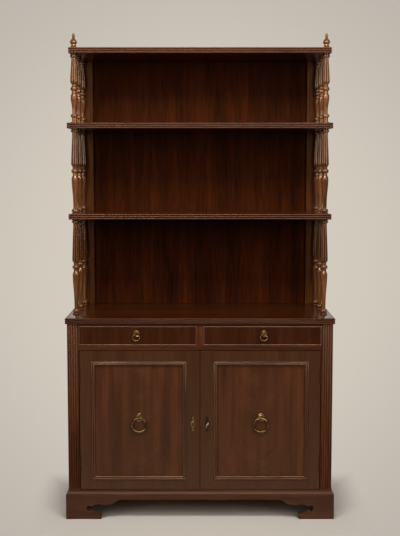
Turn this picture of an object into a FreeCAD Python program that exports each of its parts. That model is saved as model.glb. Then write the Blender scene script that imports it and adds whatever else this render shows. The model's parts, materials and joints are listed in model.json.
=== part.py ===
"""A mahogany bookcase cupboard: three open shelves on turned columns, standing on a cupboard base
with two drawers, two panelled doors and a plinth on bracket feet.

Millimetres, +Z up, the front faces -Y, and the origin is on the floor under the middle of the case.
"""

import FreeCAD
import Part
import math
import operator
import os
import Sketcher
from FreeCAD import Vector

# Every size that can be set by itself, with what it measures.
SIZES = [
    ("top_side_overhang", 7.0, "base top beyond the posts at each end"),
    ("top_depth", 452.0, "base top, front edge to back edge"),
    ("top_height", 765.0, "floor to the upper face of the base top"),
    ("top_thickness", 22.0, "base top"),
    ("top_front_overhang", 8.0, "base top in front of the posts"),
    ("edge_reed_depth", 3.2, "how far each edge reed bulges"),
    ("carcass_width", 992.0, "over the two corner posts"),
    ("post_width", 42.0, "corner post, across the front"),
    ("post_depth", 44.0, "corner post, front to back"),
    ("post_reed_width", 8.8, "each of the four reeds of a post"),
    ("post_reed_depth", 3.0, "reed crest above its valley"),
    ("post_plain_foot", 9.0, "plain block under the reeds"),
    ("side_thickness", 18.0, "side boards of the base"),
    ("side_set_in", 2.0, "side board behind the outer face of the post"),
    ("back_thickness", 10.0, "back board of the base"),
    ("bottom_thickness", 18.0, "bottom board of the base"),
    ("rail_set_back", 2.0, "rails and drawer faces behind the posts"),
    ("top_rail_height", 8.0, "rail over the drawers"),
    ("mid_rail_height", 18.5, "rail between drawers and doors"),
    ("drawer_opening_height", 73.5, "between the two rails"),
    ("divider_width", 24.0, "upright between the drawers"),
    ("runner_width", 30.0, "drawer runner inside the opening"),
    ("runner_thickness", 12.0, "drawer runner"),
    ("guide_height", 14.0, "guide strip on a runner"),
    ("plinth_height", 110.0, "floor to the carcass"),
    ("plinth_projection", 10.0, "plinth face in front of the carcass"),
    ("plinth_thickness", 20.0, "plinth boards"),
    ("plinth_bevel", 16.0, "height of the hollowed bevel"),
    ("plinth_hollow", 3.2, "hollow of the bevel behind its chord"),
    ("foot_length", 136.0, "bracket foot along the floor"),
    ("toe_height", 21.0, "end of the foot"),
    ("toe_slope", 4.5, "end of the foot drawn in at the floor"),
    ("toe_rise", 4.0, "curve of the foot above its toe"),
    ("neck_inset", 96.0, "plinth end to the neck of the keyhole cut-out"),
    ("neck_low", 33.0, "lower edge of the neck above the floor"),
    ("neck_high", 47.0, "upper edge of the neck above the floor"),
    ("hole_depth", 20.4, "round of the cut-out beyond its neck"),
    ("neck_rise", 2.4, "curve from the neck to the cusp"),
    ("cusp_inset", 127.0, "plinth end to the cusp"),
    ("cusp_height", 57.5, "cusp above the floor"),
    ("cusp_rise", 3.1, "curve from the cusp to the low point of the ogee"),
    ("lobe_inset", 152.0, "plinth end to the low point of the ogee"),
    ("lobe_height", 54.5, "low point of the ogee above the floor"),
    ("lobe_rise", 4.0, "curve from the low point to the turn of the ogee"),
    ("swell_inset", 188.0, "plinth end to the turn of the ogee"),
    ("swell_height", 66.0, "turn of the ogee above the floor"),
    ("swell_rise", 3.7, "curve from the turn of the ogee to the apron"),
    ("apron_inset", 221.0, "plinth end to the straight apron"),
    ("apron_height", 74.0, "straight apron above the floor"),
    ("back_foot_length", 95.0, "plain feet at the back"),
    ("back_toe_height", 48.0, "upright end of a back foot"),
    ("back_foot_flare", 24.0, "back foot from its toe to the apron"),
    ("back_foot_rise", 6.0, "curve of a back foot above its toe"),
    ("block_size", 45.0, "glue blocks in the plinth corners"),
    ("block_lift", 3.0, "glue blocks above the floor"),
    ("stop_lap", 4.0, "bottom board behind the foot of the doors"),
    ("stop_play", 0.3, "closed door to its stop"),
    ("inner_shelf_height", 385.0, "underside of the shelf in the cupboard"),
    ("inner_shelf_thickness", 18.0, "shelf in the cupboard"),
    ("inner_shelf_play", 1.5, "shelf in the cupboard to the sides"),
    ("inner_shelf_set_back", 45.0, "shelf in the cupboard behind the doors"),
    ("peg_radius", 4.0, "shelf pegs"),
    ("peg_hold", 10.0, "peg in the side board"),
    ("peg_reach", 16.0, "peg under the shelf"),
    ("peg_inset", 60.0, "peg from the ends of the side board"),
    ("lower_shelf_reach", 23.7, "lower shelf beyond the column axes at each end"),
    ("middle_shelf_reach", 26.4, "middle shelf beyond the column axes at each end"),
    ("top_shelf_reach", 17.9, "top shelf beyond the column axes at each end"),
    ("shelf_set_back", 111.0, "open shelves behind the base top"),
    ("shelf_thickness", 22.0, "open shelves"),
    ("lower_bay_height", 361.5, "base top to the lower shelf"),
    ("middle_bay_height", 321.0, "lower shelf to the middle shelf"),
    ("upper_bay_height", 257.0, "middle shelf to the top shelf"),
    ("panel_inset", 2.0, "back panel in front of the back edge"),
    ("panel_board", 10.0, "thickness of the back panel"),
    ("back_stile_width", 51.0, "uprights on the back panel"),
    ("back_stile_thickness", 16.0, "uprights on the back panel"),
    ("back_stile_inset", 11.0, "outer face of the posts to the upright"),
    ("column_inset", 21.2, "outer face of the posts to the column axis"),
    ("column_front_inset", 27.5, "shelf front to the first column axis"),
    ("column_back_inset", 16.0, "uprights to the last column axis"),
    ("cap_radius", 14.4, "column cap and the bead under it"),
    ("cap_height", 3.0, "column cap"),
    ("cap_bead_height", 12.0, "bead under the cap"),
    ("throat_radius", 9.8, "reeded vase at its top"),
    ("vase_radius", 14.4, "reeded vase at its widest"),
    ("vase_lift", 31.0, "widest of the vase above the ring"),
    ("waist_radius", 9.2, "necks of a column"),
    ("waist_lift", 17.0, "neck from the ring"),
    ("ring_radius", 12.9, "ring of a column"),
    ("ring_half_height", 6.4, "ring of a column"),
    ("shoulder_radius", 13.3, "lower vase at its widest"),
    ("shoulder_drop", 30.0, "lower vase at its widest, under the ring"),
    ("ankle_radius", 7.6, "lower vase at its foot"),
    ("ankle_lift", 11.0, "lower vase's foot above the foot bead"),
    ("foot_bead_radius", 13.4, "bead above the column foot"),
    ("foot_bead_half_height", 6.5, "bead above the column foot"),
    ("foot_radius", 14.4, "column foot"),
    ("foot_height", 3.5, "column foot"),
    ("lower_ring_height", 179.0, "ring above the foot of a lower column"),
    ("middle_ring_height", 161.0, "ring above the foot of a middle column"),
    ("upper_ring_height", 127.0, "ring above the foot of an upper column"),
    ("lower_bead_height", 11.0, "bead above the foot of a lower column"),
    ("middle_bead_height", 11.0, "bead above the foot of a middle column"),
    ("upper_bead_height", 26.0, "bead above the foot of an upper column"),
    ("spigot_radius", 5.0, "turned pins of columns and finials"),
    ("spigot_length", 10.0, "turned pins of columns and finials"),
    ("spigot_play", 0.1, "pin to its bore"),
    ("finial_foot_radius", 14.6, "finial at the shelf"),
    ("finial_foot_height", 4.0, "finial foot"),
    ("finial_waist_radius", 8.0, "finial above its foot"),
    ("finial_waist_height", 12.0, "finial above its foot"),
    ("finial_bulb_radius", 13.6, "finial bulb"),
    ("finial_bulb_low", 17.0, "bulb's lower turn above the shelf"),
    ("finial_bulb_high", 25.0, "bulb's upper turn above the shelf"),
    ("finial_neck_radius", 4.5, "under the tip"),
    ("finial_neck_height", 40.0, "under the tip, above the shelf"),
    ("finial_tip_radius", 5.2, "tip ball"),
    ("finial_tip_height", 46.0, "widest of the tip above the shelf"),
    ("finial_height", 54.5, "whole finial above the shelf"),
    ("drawer_gap", 1.2, "round a drawer front"),
    ("drawer_front_thickness", 18.0, "drawer front"),
    ("bead_width", 3.0, "cock bead"),
    ("bead_depth", 12.0, "cock bead let along the edge of the front"),
    ("bead_proud", 2.5, "cock bead in front of the drawer face"),
    ("bead_rise", 1.2, "rounding of the cock bead"),
    ("drawer_length", 385.0, "drawer, face to back"),
    ("drawer_side_thickness", 9.0, "drawer sides and back"),
    ("drawer_side_play", 0.6, "drawer side behind the end of its front"),
    ("drawer_side_drop", 10.0, "drawer sides under the top rail"),
    ("drawer_slide_play", 0.3, "drawer sides over their runners"),
    ("drawer_bottom_thickness", 6.0, "drawer bottom"),
    ("drawer_bottom_lift", 8.0, "drawer bottom above the foot of the sides"),
    ("drawer_groove", 4.0, "drawer bottom let into the sides and front"),
    ("door_set_back", 3.0, "doors behind the posts"),
    ("door_thickness", 21.0, "door frame"),
    ("hinge_gap", 3.0, "door to post"),
    ("meeting_gap", 2.0, "door to door"),
    ("door_top_gap", 2.0, "door to the mid rail"),
    ("door_bottom_gap", 1.5, "door to the plinth"),
    ("hinge_stile_width", 50.0, "door upright at the hinges"),
    ("meeting_stile_width", 56.5, "door upright where the doors meet"),
    ("door_top_rail", 47.0, "door top rail"),
    ("door_bottom_rail", 43.0, "door bottom rail"),
    ("door_lip", 6.0, "door frame in front of the panel groove"),
    ("door_panel_thickness", 9.0, "door panel"),
    ("door_groove", 8.0, "panel groove in the door frame"),
    ("door_panel_play", 0.5, "panel edge to the foot of its groove"),
    ("moulding_width", 15.0, "applied moulding"),
    ("moulding_lap", 7.0, "applied moulding on the door frame"),
    ("moulding_proud", 5.0, "crest of the moulding in front of the door"),
    ("moulding_quirk", 1.6, "square outer edge of the moulding"),
    ("moulding_rise", 1.5, "rounding of each moulding member"),
    ("barrel_radius", 2.5, "hinge barrel"),
    ("barrel_play", 0.2, "hinge barrel to the post"),
    ("swing_play", 0.4, "hinge barrel to the door face"),
    ("pin_radius", 1.2, "hinge pin"),
    ("pin_play", 0.08, "hinge pin in its knuckles"),
    ("pin_tip", 1.5, "hinge pin beyond its knuckles"),
    ("leaf_thickness", 1.3, "hinge leaves"),
    ("leaf_depth", 18.0, "hinge leaves"),
    ("leaf_lap", 0.6, "door leaf in the wall of its knuckle"),
    ("hinge_height", 56.0, "hinges"),
    ("hinge_inset", 70.0, "door end to the hinge"),
    ("knuckle_play", 0.3, "knuckle to knuckle"),
    ("pull_inset", 222.0, "door pull from the hinge side of the door"),
    ("pull_height", 274.0, "door pull's eye above the foot of the door"),
    ("pull_radius", 26.5, "door ring, to the middle of its wire"),
    ("pull_wire", 3.0, "door ring, radius of its wire"),
    ("pull_rosette_radius", 16.0, "door rosette"),
    ("pull_boss_radius", 9.6, "raised middle of a door rosette"),
    ("pull_rosette_height", 3.5, "door rosette"),
    ("pull_standoff", 8.5, "door face to the ring's plane"),
    ("drop_inset", 216.0, "drawer pull from the outer end of the front"),
    ("drop_height", 45.5, "drawer pull's eye above the foot of the drawer opening"),
    ("drop_radius", 13.5, "drawer ring, to the middle of its wire"),
    ("drop_wire", 2.1, "drawer ring, radius of its wire"),
    ("drop_rosette_radius", 11.5, "drawer rosette"),
    ("drop_boss_radius", 6.9, "raised middle of a drawer rosette"),
    ("drop_rosette_height", 2.6, "drawer rosette"),
    ("drop_standoff", 5.8, "drawer face to the ring's plane"),
    ("eye_wall", 1.6, "metal round the hole of an eye"),
    ("eye_play", 0.35, "ring wire in its eye"),
    ("eye_half_width", 2.2, "eye, half its width"),
    ("lock_inset", 27.0, "middle of the doors to the keyhole"),
    ("lock_height", 364.0, "key axis above the floor"),
    ("plate_half_width", 8.5, "escutcheon"),
    ("plate_half_height", 20.0, "escutcheon between its lobes"),
    ("plate_lobe_radius", 4.6, "round lobes of the escutcheon"),
    ("plate_lobe_reach", 23.5, "lobe centre from the middle of the escutcheon"),
    ("plate_thickness", 1.5, "escutcheon"),
    ("keyhole_half_slot", 1.7, "keyhole slot, half its width"),
    ("keyhole_slot", 9.5, "foot of the keyhole under the key axis"),
    ("keyhole_shoulder", 2.6, "slot meets the round under the key axis"),
    ("keyhole_rise", 5.8, "round of the keyhole above its shoulder"),
    ("keyhole_bore", 8.0, "keyhole in the wood of the left door"),
    ("lock_width", 38.0, "lock case from the door's edge"),
    ("lock_case_height", 54.0, "lock case"),
    ("lock_depth", 12.5, "lock case, front to back"),
    ("lock_wall", 1.5, "lock case"),
    ("bolt_height", 11.0, "lock bolt"),
    ("bolt_thickness", 6.0, "lock bolt"),
    ("bolt_length", 26.0, "lock bolt"),
    ("bolt_lift", 9.2, "bolt's lower face above the key axis"),
    ("bolt_play", 0.25, "bolt in its slot"),
    ("bolt_inset", 2.0, "bolt to the back plate of the lock"),
    ("bolt_rest", 1.0, "bolt behind the door's edge when drawn back"),
    ("mortise_depth", 12.0, "bolt's mortise in the left door"),
    ("mortise_play", 1.0, "bolt in its mortise"),
    ("key_radius", 2.3, "key shank"),
    ("key_reach", 4.0, "shank in front of the escutcheon"),
    ("key_bow_radius", 13.5, "key bow"),
    ("key_bow_band", 4.0, "metal of the bow, outside to inside"),
    ("key_bow_half", 1.7, "key bow, half its thickness"),
    ("key_bow_lap", 2.0, "shank let into the bow"),
    ("key_bit_radius", 8.2, "tip of the bit from the key axis"),
    ("key_bit_half", 1.2, "bit, half its thickness"),
    ("key_bit_length", 5.0, "bit along the shank"),
    ("key_slant", 24.0, "degrees that the key has been turned"),
    ("cut_margin", 6.0, "how far cutting outlines pass the wood"),
]

# A round end stays just short of a half circle, and an octagon's half side is this share of its half width.
NEARLY_HALF_ROUND = 0.98
OCTAGON_SHARE = math.tan(math.pi / 8)

doc = FreeCAD.newDocument("BookcaseCupboard")


class Length:
    """A length in millimetres together with the sheet formula that gives it."""

    def __init__(self, number, formula):
        self.number = number
        self.formula = formula

    def __add__(self, other):
        return combined(self, "+", other)

    def __sub__(self, other):
        return combined(self, "-", other)

    def __mul__(self, other):
        return combined(self, "*", other)

    def __truediv__(self, other):
        return combined(self, "/", other)

    def __neg__(self):
        return combined(self, "*", -1.0)


OPERATIONS = {"+": operator.add, "-": operator.sub, "*": operator.mul, "/": operator.truediv}
ZERO = Length(0.0, "0")


def as_length(value):
    """A plain number becomes a length that no size drives."""
    if isinstance(value, Length):
        return value
    return Length(float(value), repr(float(value)))


def combined(first, sign, second):
    """The two lengths joined by the sign, as a number and as a formula."""
    first = as_length(first)
    second = as_length(second)
    number = OPERATIONS[sign](first.number, second.number)
    return Length(number, "(%s %s %s)" % (first.formula, sign, second.formula))


class Sizes:
    """The sheet of driving sizes, with each size as an attribute."""

    def __init__(self, rows):
        self.sheet = doc.addObject("Spreadsheet::Sheet", "sizes")
        for row, (name, number, note) in enumerate(rows, 1):
            self.sheet.set("A%d" % row, str(number))
            self.sheet.set("B%d" % row, note)
            self.sheet.setAlias("A%d" % row, name)
            setattr(self, name, Length(number, "sizes." + name))
        doc.recompute()


size = Sizes(SIZES)
nodes = {}

# Places that several pieces share.
top_front = -size.top_depth / 2
top_back = size.top_depth / 2
top_under = size.top_height - size.top_thickness
case_front = top_front + size.top_front_overhang
case_half = size.carcass_width / 2
case_back = top_back - size.back_thickness
post_inner = case_half - size.post_width
post_back = case_front + size.post_depth
rail_front = case_front + size.rail_set_back
side_outer = case_half - size.side_set_in
side_inner = side_outer - size.side_thickness
drawer_ceiling = top_under - size.top_rail_height
drawer_floor = drawer_ceiling - size.drawer_opening_height
mid_rail_under = drawer_floor - size.mid_rail_height
plinth_front = case_front - size.plinth_projection
plinth_half = case_half + size.plinth_projection
plinth_inner = plinth_half - size.plinth_thickness
door_front = case_front + size.door_set_back
door_back = door_front + size.door_thickness
door_low = size.plinth_height + size.door_bottom_gap
door_high = mid_rail_under - size.door_top_gap
door_outer = post_inner - size.hinge_gap
door_inner = size.meeting_gap / 2
bottom_upper = door_low + size.stop_lap
bottom_under = bottom_upper - size.bottom_thickness
shelf_front = top_front + size.shelf_set_back
panel_back = top_back - size.panel_inset
panel_front = panel_back - size.panel_board
stile_front = panel_front - size.back_stile_thickness
stile_outer = case_half - size.back_stile_inset
stile_inner = stile_outer - size.back_stile_width
lower_shelf_under = size.top_height + size.lower_bay_height
lower_shelf_face = lower_shelf_under + size.shelf_thickness
middle_shelf_under = lower_shelf_face + size.middle_bay_height
middle_shelf_face = middle_shelf_under + size.shelf_thickness
top_shelf_under = middle_shelf_face + size.upper_bay_height
top_shelf_face = top_shelf_under + size.shelf_thickness
column_x = case_half - size.column_inset
column_front = shelf_front + size.column_front_inset
column_back = stile_front - size.column_back_inset
column_pitch = (column_back - column_front) / 2


def origin_feature(body, role):
    """The body's own base plane or axis with this role."""
    return [feature for feature in body.Origin.OriginFeatures if feature.Role == role][0]


def new_body(name):
    """An empty body for one solid piece, or for a pattern of like pieces."""
    body = doc.addObject("PartDesign::Body", name)
    body.Label = name
    return body


def node(name, piece):
    """The piece becomes a named sub-part with its own file."""
    piece.Label = name
    nodes[name] = piece
    return piece


def group(name, pieces):
    """Several separate solids that share one sub-part."""
    compound = doc.addObject("Part::Compound", name)
    compound.Links = pieces
    return node(name, compound)


def mirror_image(piece):
    """The same piece on the other side of the case."""
    image = doc.addObject("Part::Mirroring", piece.Name + "_image")
    image.Source = piece
    image.Normal = Vector(1, 0, 0)
    return image


def mirrored(name, piece):
    """The mirror image as a sub-part of its own."""
    return node(name, mirror_image(piece))


def rectangle(left, right, low, high):
    """Corners of an upright rectangle."""
    return [(left, low), (right, low), (right, high), (left, high)]


def arc_middle(start, end, rise):
    """The point half way along an arc that rises to the left of its chord."""
    chord = end - start
    left = Vector(-chord.y, chord.x, 0).normalize()
    return (start + end) * 0.5 + left * rise


def anticlockwise_arc(start, end, rise):
    """The arc between two points, run the way round that the sketcher expects."""
    middle = arc_middle(start, end, rise)
    if rise > 0:
        return Part.Arc(end, middle, start)
    return Part.Arc(start, middle, end)


def end_at(geometry, point):
    """Which end of the edge lies at the point, as the sketcher numbers them."""
    return 1 if geometry.StartPoint.distanceToPoint(point) < 1e-6 else 2


def bind_distance(sketch, kind, edge, end, length):
    """Hold one coordinate of an edge's end to a formula."""
    held = sketch.addConstraint(Sketcher.Constraint(kind, -1, 1, edge, end, length.number))
    sketch.setExpression("Constraints[%d]" % held, length.formula)


def draw(sketch, corners):
    """Draw a closed outline. A corner is (across, up) and, where an arc leaves it, also the arc's rise:
    how far the arc stands out to the left of its chord."""
    first = sketch.GeometryCount
    count = len(corners)
    lengths = [(as_length(corner[0]), as_length(corner[1])) for corner in corners]
    points = [Vector(across.number, up.number, 0) for across, up in lengths]
    for index, corner in enumerate(corners):
        start = points[index]
        end = points[(index + 1) % count]
        if len(corner) == 3:
            sketch.addGeometry(anticlockwise_arc(start, end, corner[2].number), False)
        else:
            sketch.addGeometry(Part.LineSegment(start, end), False)
    for index, corner in enumerate(corners):
        edge = first + index
        following = first + (index + 1) % count
        meeting = points[(index + 1) % count]
        edge_end = end_at(sketch.Geometry[edge], meeting)
        next_end = end_at(sketch.Geometry[following], meeting)
        sketch.addConstraint(Sketcher.Constraint("Coincident", edge, edge_end, following, next_end))
        start_end = end_at(sketch.Geometry[edge], points[index])
        bind_distance(sketch, "DistanceX", edge, start_end, lengths[index][0])
        bind_distance(sketch, "DistanceY", edge, start_end, lengths[index][1])
        if len(corner) == 3:
            bind_arc(sketch, edge, lengths[index], lengths[(index + 1) % count], corner[2])


def bind_arc(sketch, edge, start, end, rise):
    """Hold an arc's radius to the one that its chord and rise give."""
    across = end[0] - start[0]
    up = end[1] - start[1]
    tall = rise if rise.number > 0 else -rise
    radius = ((across * across + up * up) / 4 + tall * tall) / (tall * 2)
    held = sketch.addConstraint(Sketcher.Constraint("Radius", edge, radius.number))
    sketch.setExpression("Constraints[%d]" % held, radius.formula)


def draw_circle(sketch, across, up, radius):
    """Draw a circle with its centre and radius bound."""
    across = as_length(across)
    up = as_length(up)
    centre = Vector(across.number, up.number, 0)
    edge = sketch.addGeometry(Part.Circle(centre, Vector(0, 0, 1), radius.number))
    bind_distance(sketch, "DistanceX", edge, 3, across)
    bind_distance(sketch, "DistanceY", edge, 3, up)
    held = sketch.addConstraint(Sketcher.Constraint("Radius", edge, radius.number))
    sketch.setExpression("Constraints[%d]" % held, radius.formula)


def new_sketch(body, plane, offset):
    """An empty sketch on one of the body's planes, moved by the offset in the plane's own directions."""
    sketch = body.newObject("Sketcher::SketchObject", body.Name + "_sketch")
    sketch.AttachmentSupport = [(origin_feature(body, plane), "")]
    sketch.MapMode = "FlatFace"
    for axis, length in zip("xyz", offset):
        sketch.setExpression("AttachmentOffset.Base." + axis, as_length(length).formula)
    return sketch


def normal_span(plane, low, high):
    """The two ends along the plane's normal. The XZ plane faces the front, so its span is turned round."""
    if plane == "XZ_Plane":
        return -as_length(high), -as_length(low)
    return as_length(low), as_length(high)


def pad(body, plane, low, high, outlines=(), circles=()):
    """Add the outlines and circles between two places along the plane's normal."""
    start, end = normal_span(plane, low, high)
    sketch = new_sketch(body, plane, (0, 0, start))
    for corners in outlines:
        draw(sketch, corners)
    for circle in circles:
        draw_circle(sketch, *circle)
    feature = body.newObject("PartDesign::Pad", body.Name + "_pad")
    feature.Profile = sketch
    feature.setExpression("Length", (end - start).formula)
    return feature


def pocket(body, plane, low, high, outlines=(), circles=()):
    """Cut the outlines and circles away between two places along the plane's normal."""
    start, end = normal_span(plane, low, high)
    sketch = new_sketch(body, plane, (0, 0, end))
    for corners in outlines:
        draw(sketch, corners)
    for circle in circles:
        draw_circle(sketch, *circle)
    feature = body.newObject("PartDesign::Pocket", body.Name + "_pocket")
    feature.Profile = sketch
    feature.setExpression("Length", (end - start).formula)
    return feature


def turned(body, plane, axis, offset, corners):
    """Revolve a closed profile about an axis of its own sketch."""
    sketch = new_sketch(body, plane, offset)
    draw(sketch, corners)
    feature = body.newObject("PartDesign::Revolution", body.Name + "_turned")
    feature.Profile = sketch
    feature.ReferenceAxis = (sketch, [axis])
    feature.Angle = 360.0
    return feature


def board(name, left, right, front, back, low, high):
    """A plain board with square edges."""
    body = new_body(name)
    pad(body, "XY_Plane", low, high, [rectangle(left, right, front, back)])
    return body


def octagon(across, up, radius):
    """Corners of a regular octagon, which stands for round wire."""
    reach = radius
    short = radius * OCTAGON_SHARE
    return [
        (across + reach, up + short),
        (across + short, up + reach),
        (across - short, up + reach),
        (across - reach, up + short),
        (across - reach, up - short),
        (across - short, up - reach),
        (across + short, up - reach),
        (across + reach, up - short),
    ]


def reed_corners(across, low, thickness, rise):
    """Three reeds, one above the other, up an edge. The last corner ends the top one."""
    third = thickness / 3
    corners = [(across, low + third * step, rise) for step in range(3)]
    return corners + [(across, low + thickness)]


def reeded_slab(name, half, front, back, low, thickness):
    """A shelf or top with three reeds along its front and both ends, mitred at the corners."""
    body = new_body(name)
    depth = size.edge_reed_depth
    high = low + thickness
    edge = reed_corners(front + depth, low, thickness, depth)
    pad(body, "YZ_Plane", -half, half, [[(back, high), (back, low)] + edge])
    margin = size.cut_margin
    ends = []
    for side in (1, -1):
        valley = (half - depth) * side
        beyond = (half + margin) * side
        start = [(beyond, high + margin), (beyond, low - margin), (valley, low - margin)]
        ends.append(start + reed_corners(valley, low, thickness, -depth * side) + [(valley, high + margin)])
    pocket(body, "XZ_Plane", front - margin, back + margin, ends)
    return body


def spigot_bores(body, places, face, depth):
    """Bore the upper face for turned pins at the given places."""
    circles = [(across, along, size.spigot_radius + size.spigot_play) for across, along in places]
    pocket(body, "XY_Plane", face - depth, face, circles=circles)


def column_places():
    """Where the six columns of a tier stand."""
    rows = [column_front + column_pitch * step for step in range(3)]
    return [(column_x * side, row) for side in (-1, 1) for row in rows]


def stile_notches(body, low, high):
    """Clear the back corners of a shelf for the uprights."""
    margin = size.cut_margin
    notches = []
    for side in (-1, 1):
        ends = sorted((stile_inner * side, stile_outer * side), key=lambda place: place.number)
        notches.append(rectangle(ends[0], ends[1], stile_front, panel_front + margin))
    pocket(body, "XY_Plane", low - margin, high + margin, notches)


def make_tops():
    """The base top and the three shelves, with bores for the columns and finials."""
    base_top = node("base_top", reeded_slab(
        "base_top", case_half + size.top_side_overhang, top_front, top_back, top_under,
        size.top_thickness))
    spigot_bores(base_top, column_places(), size.top_height, size.spigot_length)
    for name, low, face, reach in (
            ("lower_shelf", lower_shelf_under, lower_shelf_face, size.lower_shelf_reach),
            ("middle_shelf", middle_shelf_under, middle_shelf_face, size.middle_shelf_reach)):
        shelf = node(name, reeded_slab(
            name, column_x + reach, shelf_front, panel_front, low, size.shelf_thickness))
        stile_notches(shelf, low, face)
        spigot_bores(shelf, column_places(), face, size.spigot_length)
    top_shelf = node("top_shelf", reeded_slab(
        "top_shelf", column_x + size.top_shelf_reach, shelf_front, panel_back, top_shelf_under,
        size.shelf_thickness))
    finial_places = [(column_x * side, column_front) for side in (-1, 1)]
    spigot_bores(top_shelf, finial_places, top_shelf_face, size.spigot_length)


def column_profile(height, ring, bead):
    """Half the outline of a column, from the pin in its foot to its cap. Beads and ring are rounds."""
    waist = size.waist_radius
    bead_half = size.foot_bead_half_height
    ring_half = size.ring_half_height
    cap_low = height - size.cap_height
    return [
        (ZERO, -size.spigot_length),
        (size.spigot_radius, -size.spigot_length),
        (size.spigot_radius, ZERO),
        (size.foot_radius, ZERO),
        (size.foot_radius, size.foot_height),
        (waist, bead - bead_half, waist - size.foot_bead_radius),
        (waist, bead + bead_half),
        (size.ankle_radius, bead + size.ankle_lift),
        (size.shoulder_radius, ring - size.shoulder_drop),
        (waist, ring - size.waist_lift),
        (waist, ring - ring_half, waist - size.ring_radius),
        (waist, ring + ring_half),
        (waist, ring + size.waist_lift),
        (size.vase_radius, ring + size.vase_lift),
        (size.throat_radius, cap_low - size.cap_bead_height, size.throat_radius - size.cap_radius),
        (size.throat_radius, cap_low),
        (size.cap_radius, cap_low),
        (size.cap_radius, height),
        (ZERO, height),
    ]


def make_columns(name, floor, ceiling, ring, bead):
    """Six turned columns between two shelves: one profile, repeated back and mirrored across."""
    body = node(name, new_body(name))
    profile = column_profile(ceiling - floor, ring, bead)
    column = turned(body, "XZ_Plane", "V_Axis", (-column_x, floor, -column_front), profile)
    rows = body.newObject("PartDesign::LinearPattern", name + "_rows")
    rows.Direction = (origin_feature(body, "Y_Axis"), [""])
    rows.setExpression("Length", (column_back - column_front).formula)
    rows.Occurrences = 3
    sides = body.newObject("PartDesign::Mirrored", name + "_sides")
    sides.MirrorPlane = (origin_feature(body, "YZ_Plane"), [""])
    tier = body.newObject("PartDesign::MultiTransform", name + "_tier")
    tier.Originals = [column]
    tier.Transformations = [rows, sides]
    body.Tip = tier


def make_finials():
    """Two turned finials on the front corners of the top shelf."""
    body = node("finials", new_body("finials"))
    profile = [
        (ZERO, -size.spigot_length),
        (size.spigot_radius, -size.spigot_length),
        (size.spigot_radius, ZERO),
        (size.finial_foot_radius, ZERO),
        (size.finial_foot_radius, size.finial_foot_height),
        (size.finial_waist_radius, size.finial_waist_height),
        (size.finial_bulb_radius, size.finial_bulb_low),
        (size.finial_bulb_radius, size.finial_bulb_high),
        (size.finial_neck_radius, size.finial_neck_height),
        (size.finial_tip_radius, size.finial_tip_height),
        (ZERO, size.finial_height),
    ]
    offset = (-column_x, top_shelf_face, -column_front)
    finial = turned(body, "XZ_Plane", "V_Axis", offset, profile)
    pair = body.newObject("PartDesign::Mirrored", "finials_pair")
    pair.Originals = [finial]
    pair.MirrorPlane = (origin_feature(body, "YZ_Plane"), [""])
    body.Tip = pair


def make_bookcase_back():
    """The back panel of the open shelves and its two uprights."""
    node("back_panel", board(
        "back_panel", -stile_outer, stile_outer, panel_front, panel_back, size.top_height, top_shelf_under))
    stile = node("back_stile_left", board(
        "back_stile_left", -stile_outer, -stile_inner, stile_front, panel_front, size.top_height,
        top_shelf_under))
    mirrored("back_stile_right", stile)


def make_posts():
    """Corner posts with four reeds on the face, over a plain foot."""
    body = node("corner_post_left", new_body("corner_post_left"))
    face = case_front + size.post_reed_depth
    margin = (size.post_width - size.post_reed_width * 4) / 2
    left = -case_half
    reeds = [(left + margin + size.post_reed_width * step, face, -size.post_reed_depth) for step in range(4)]
    corners = [(left, post_back), (left, case_front), (left + margin, case_front)]
    corners += reeds
    corners += [(-post_inner - margin, face), (-post_inner - margin, case_front)]
    corners += [(-post_inner, case_front), (-post_inner, post_back)]
    plain = size.plinth_height + size.post_plain_foot
    pad(body, "XY_Plane", size.plinth_height, plain, [rectangle(left, -post_inner, case_front, post_back)])
    pad(body, "XY_Plane", plain, top_under, [corners])
    mirrored("corner_post_right", body)


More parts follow.
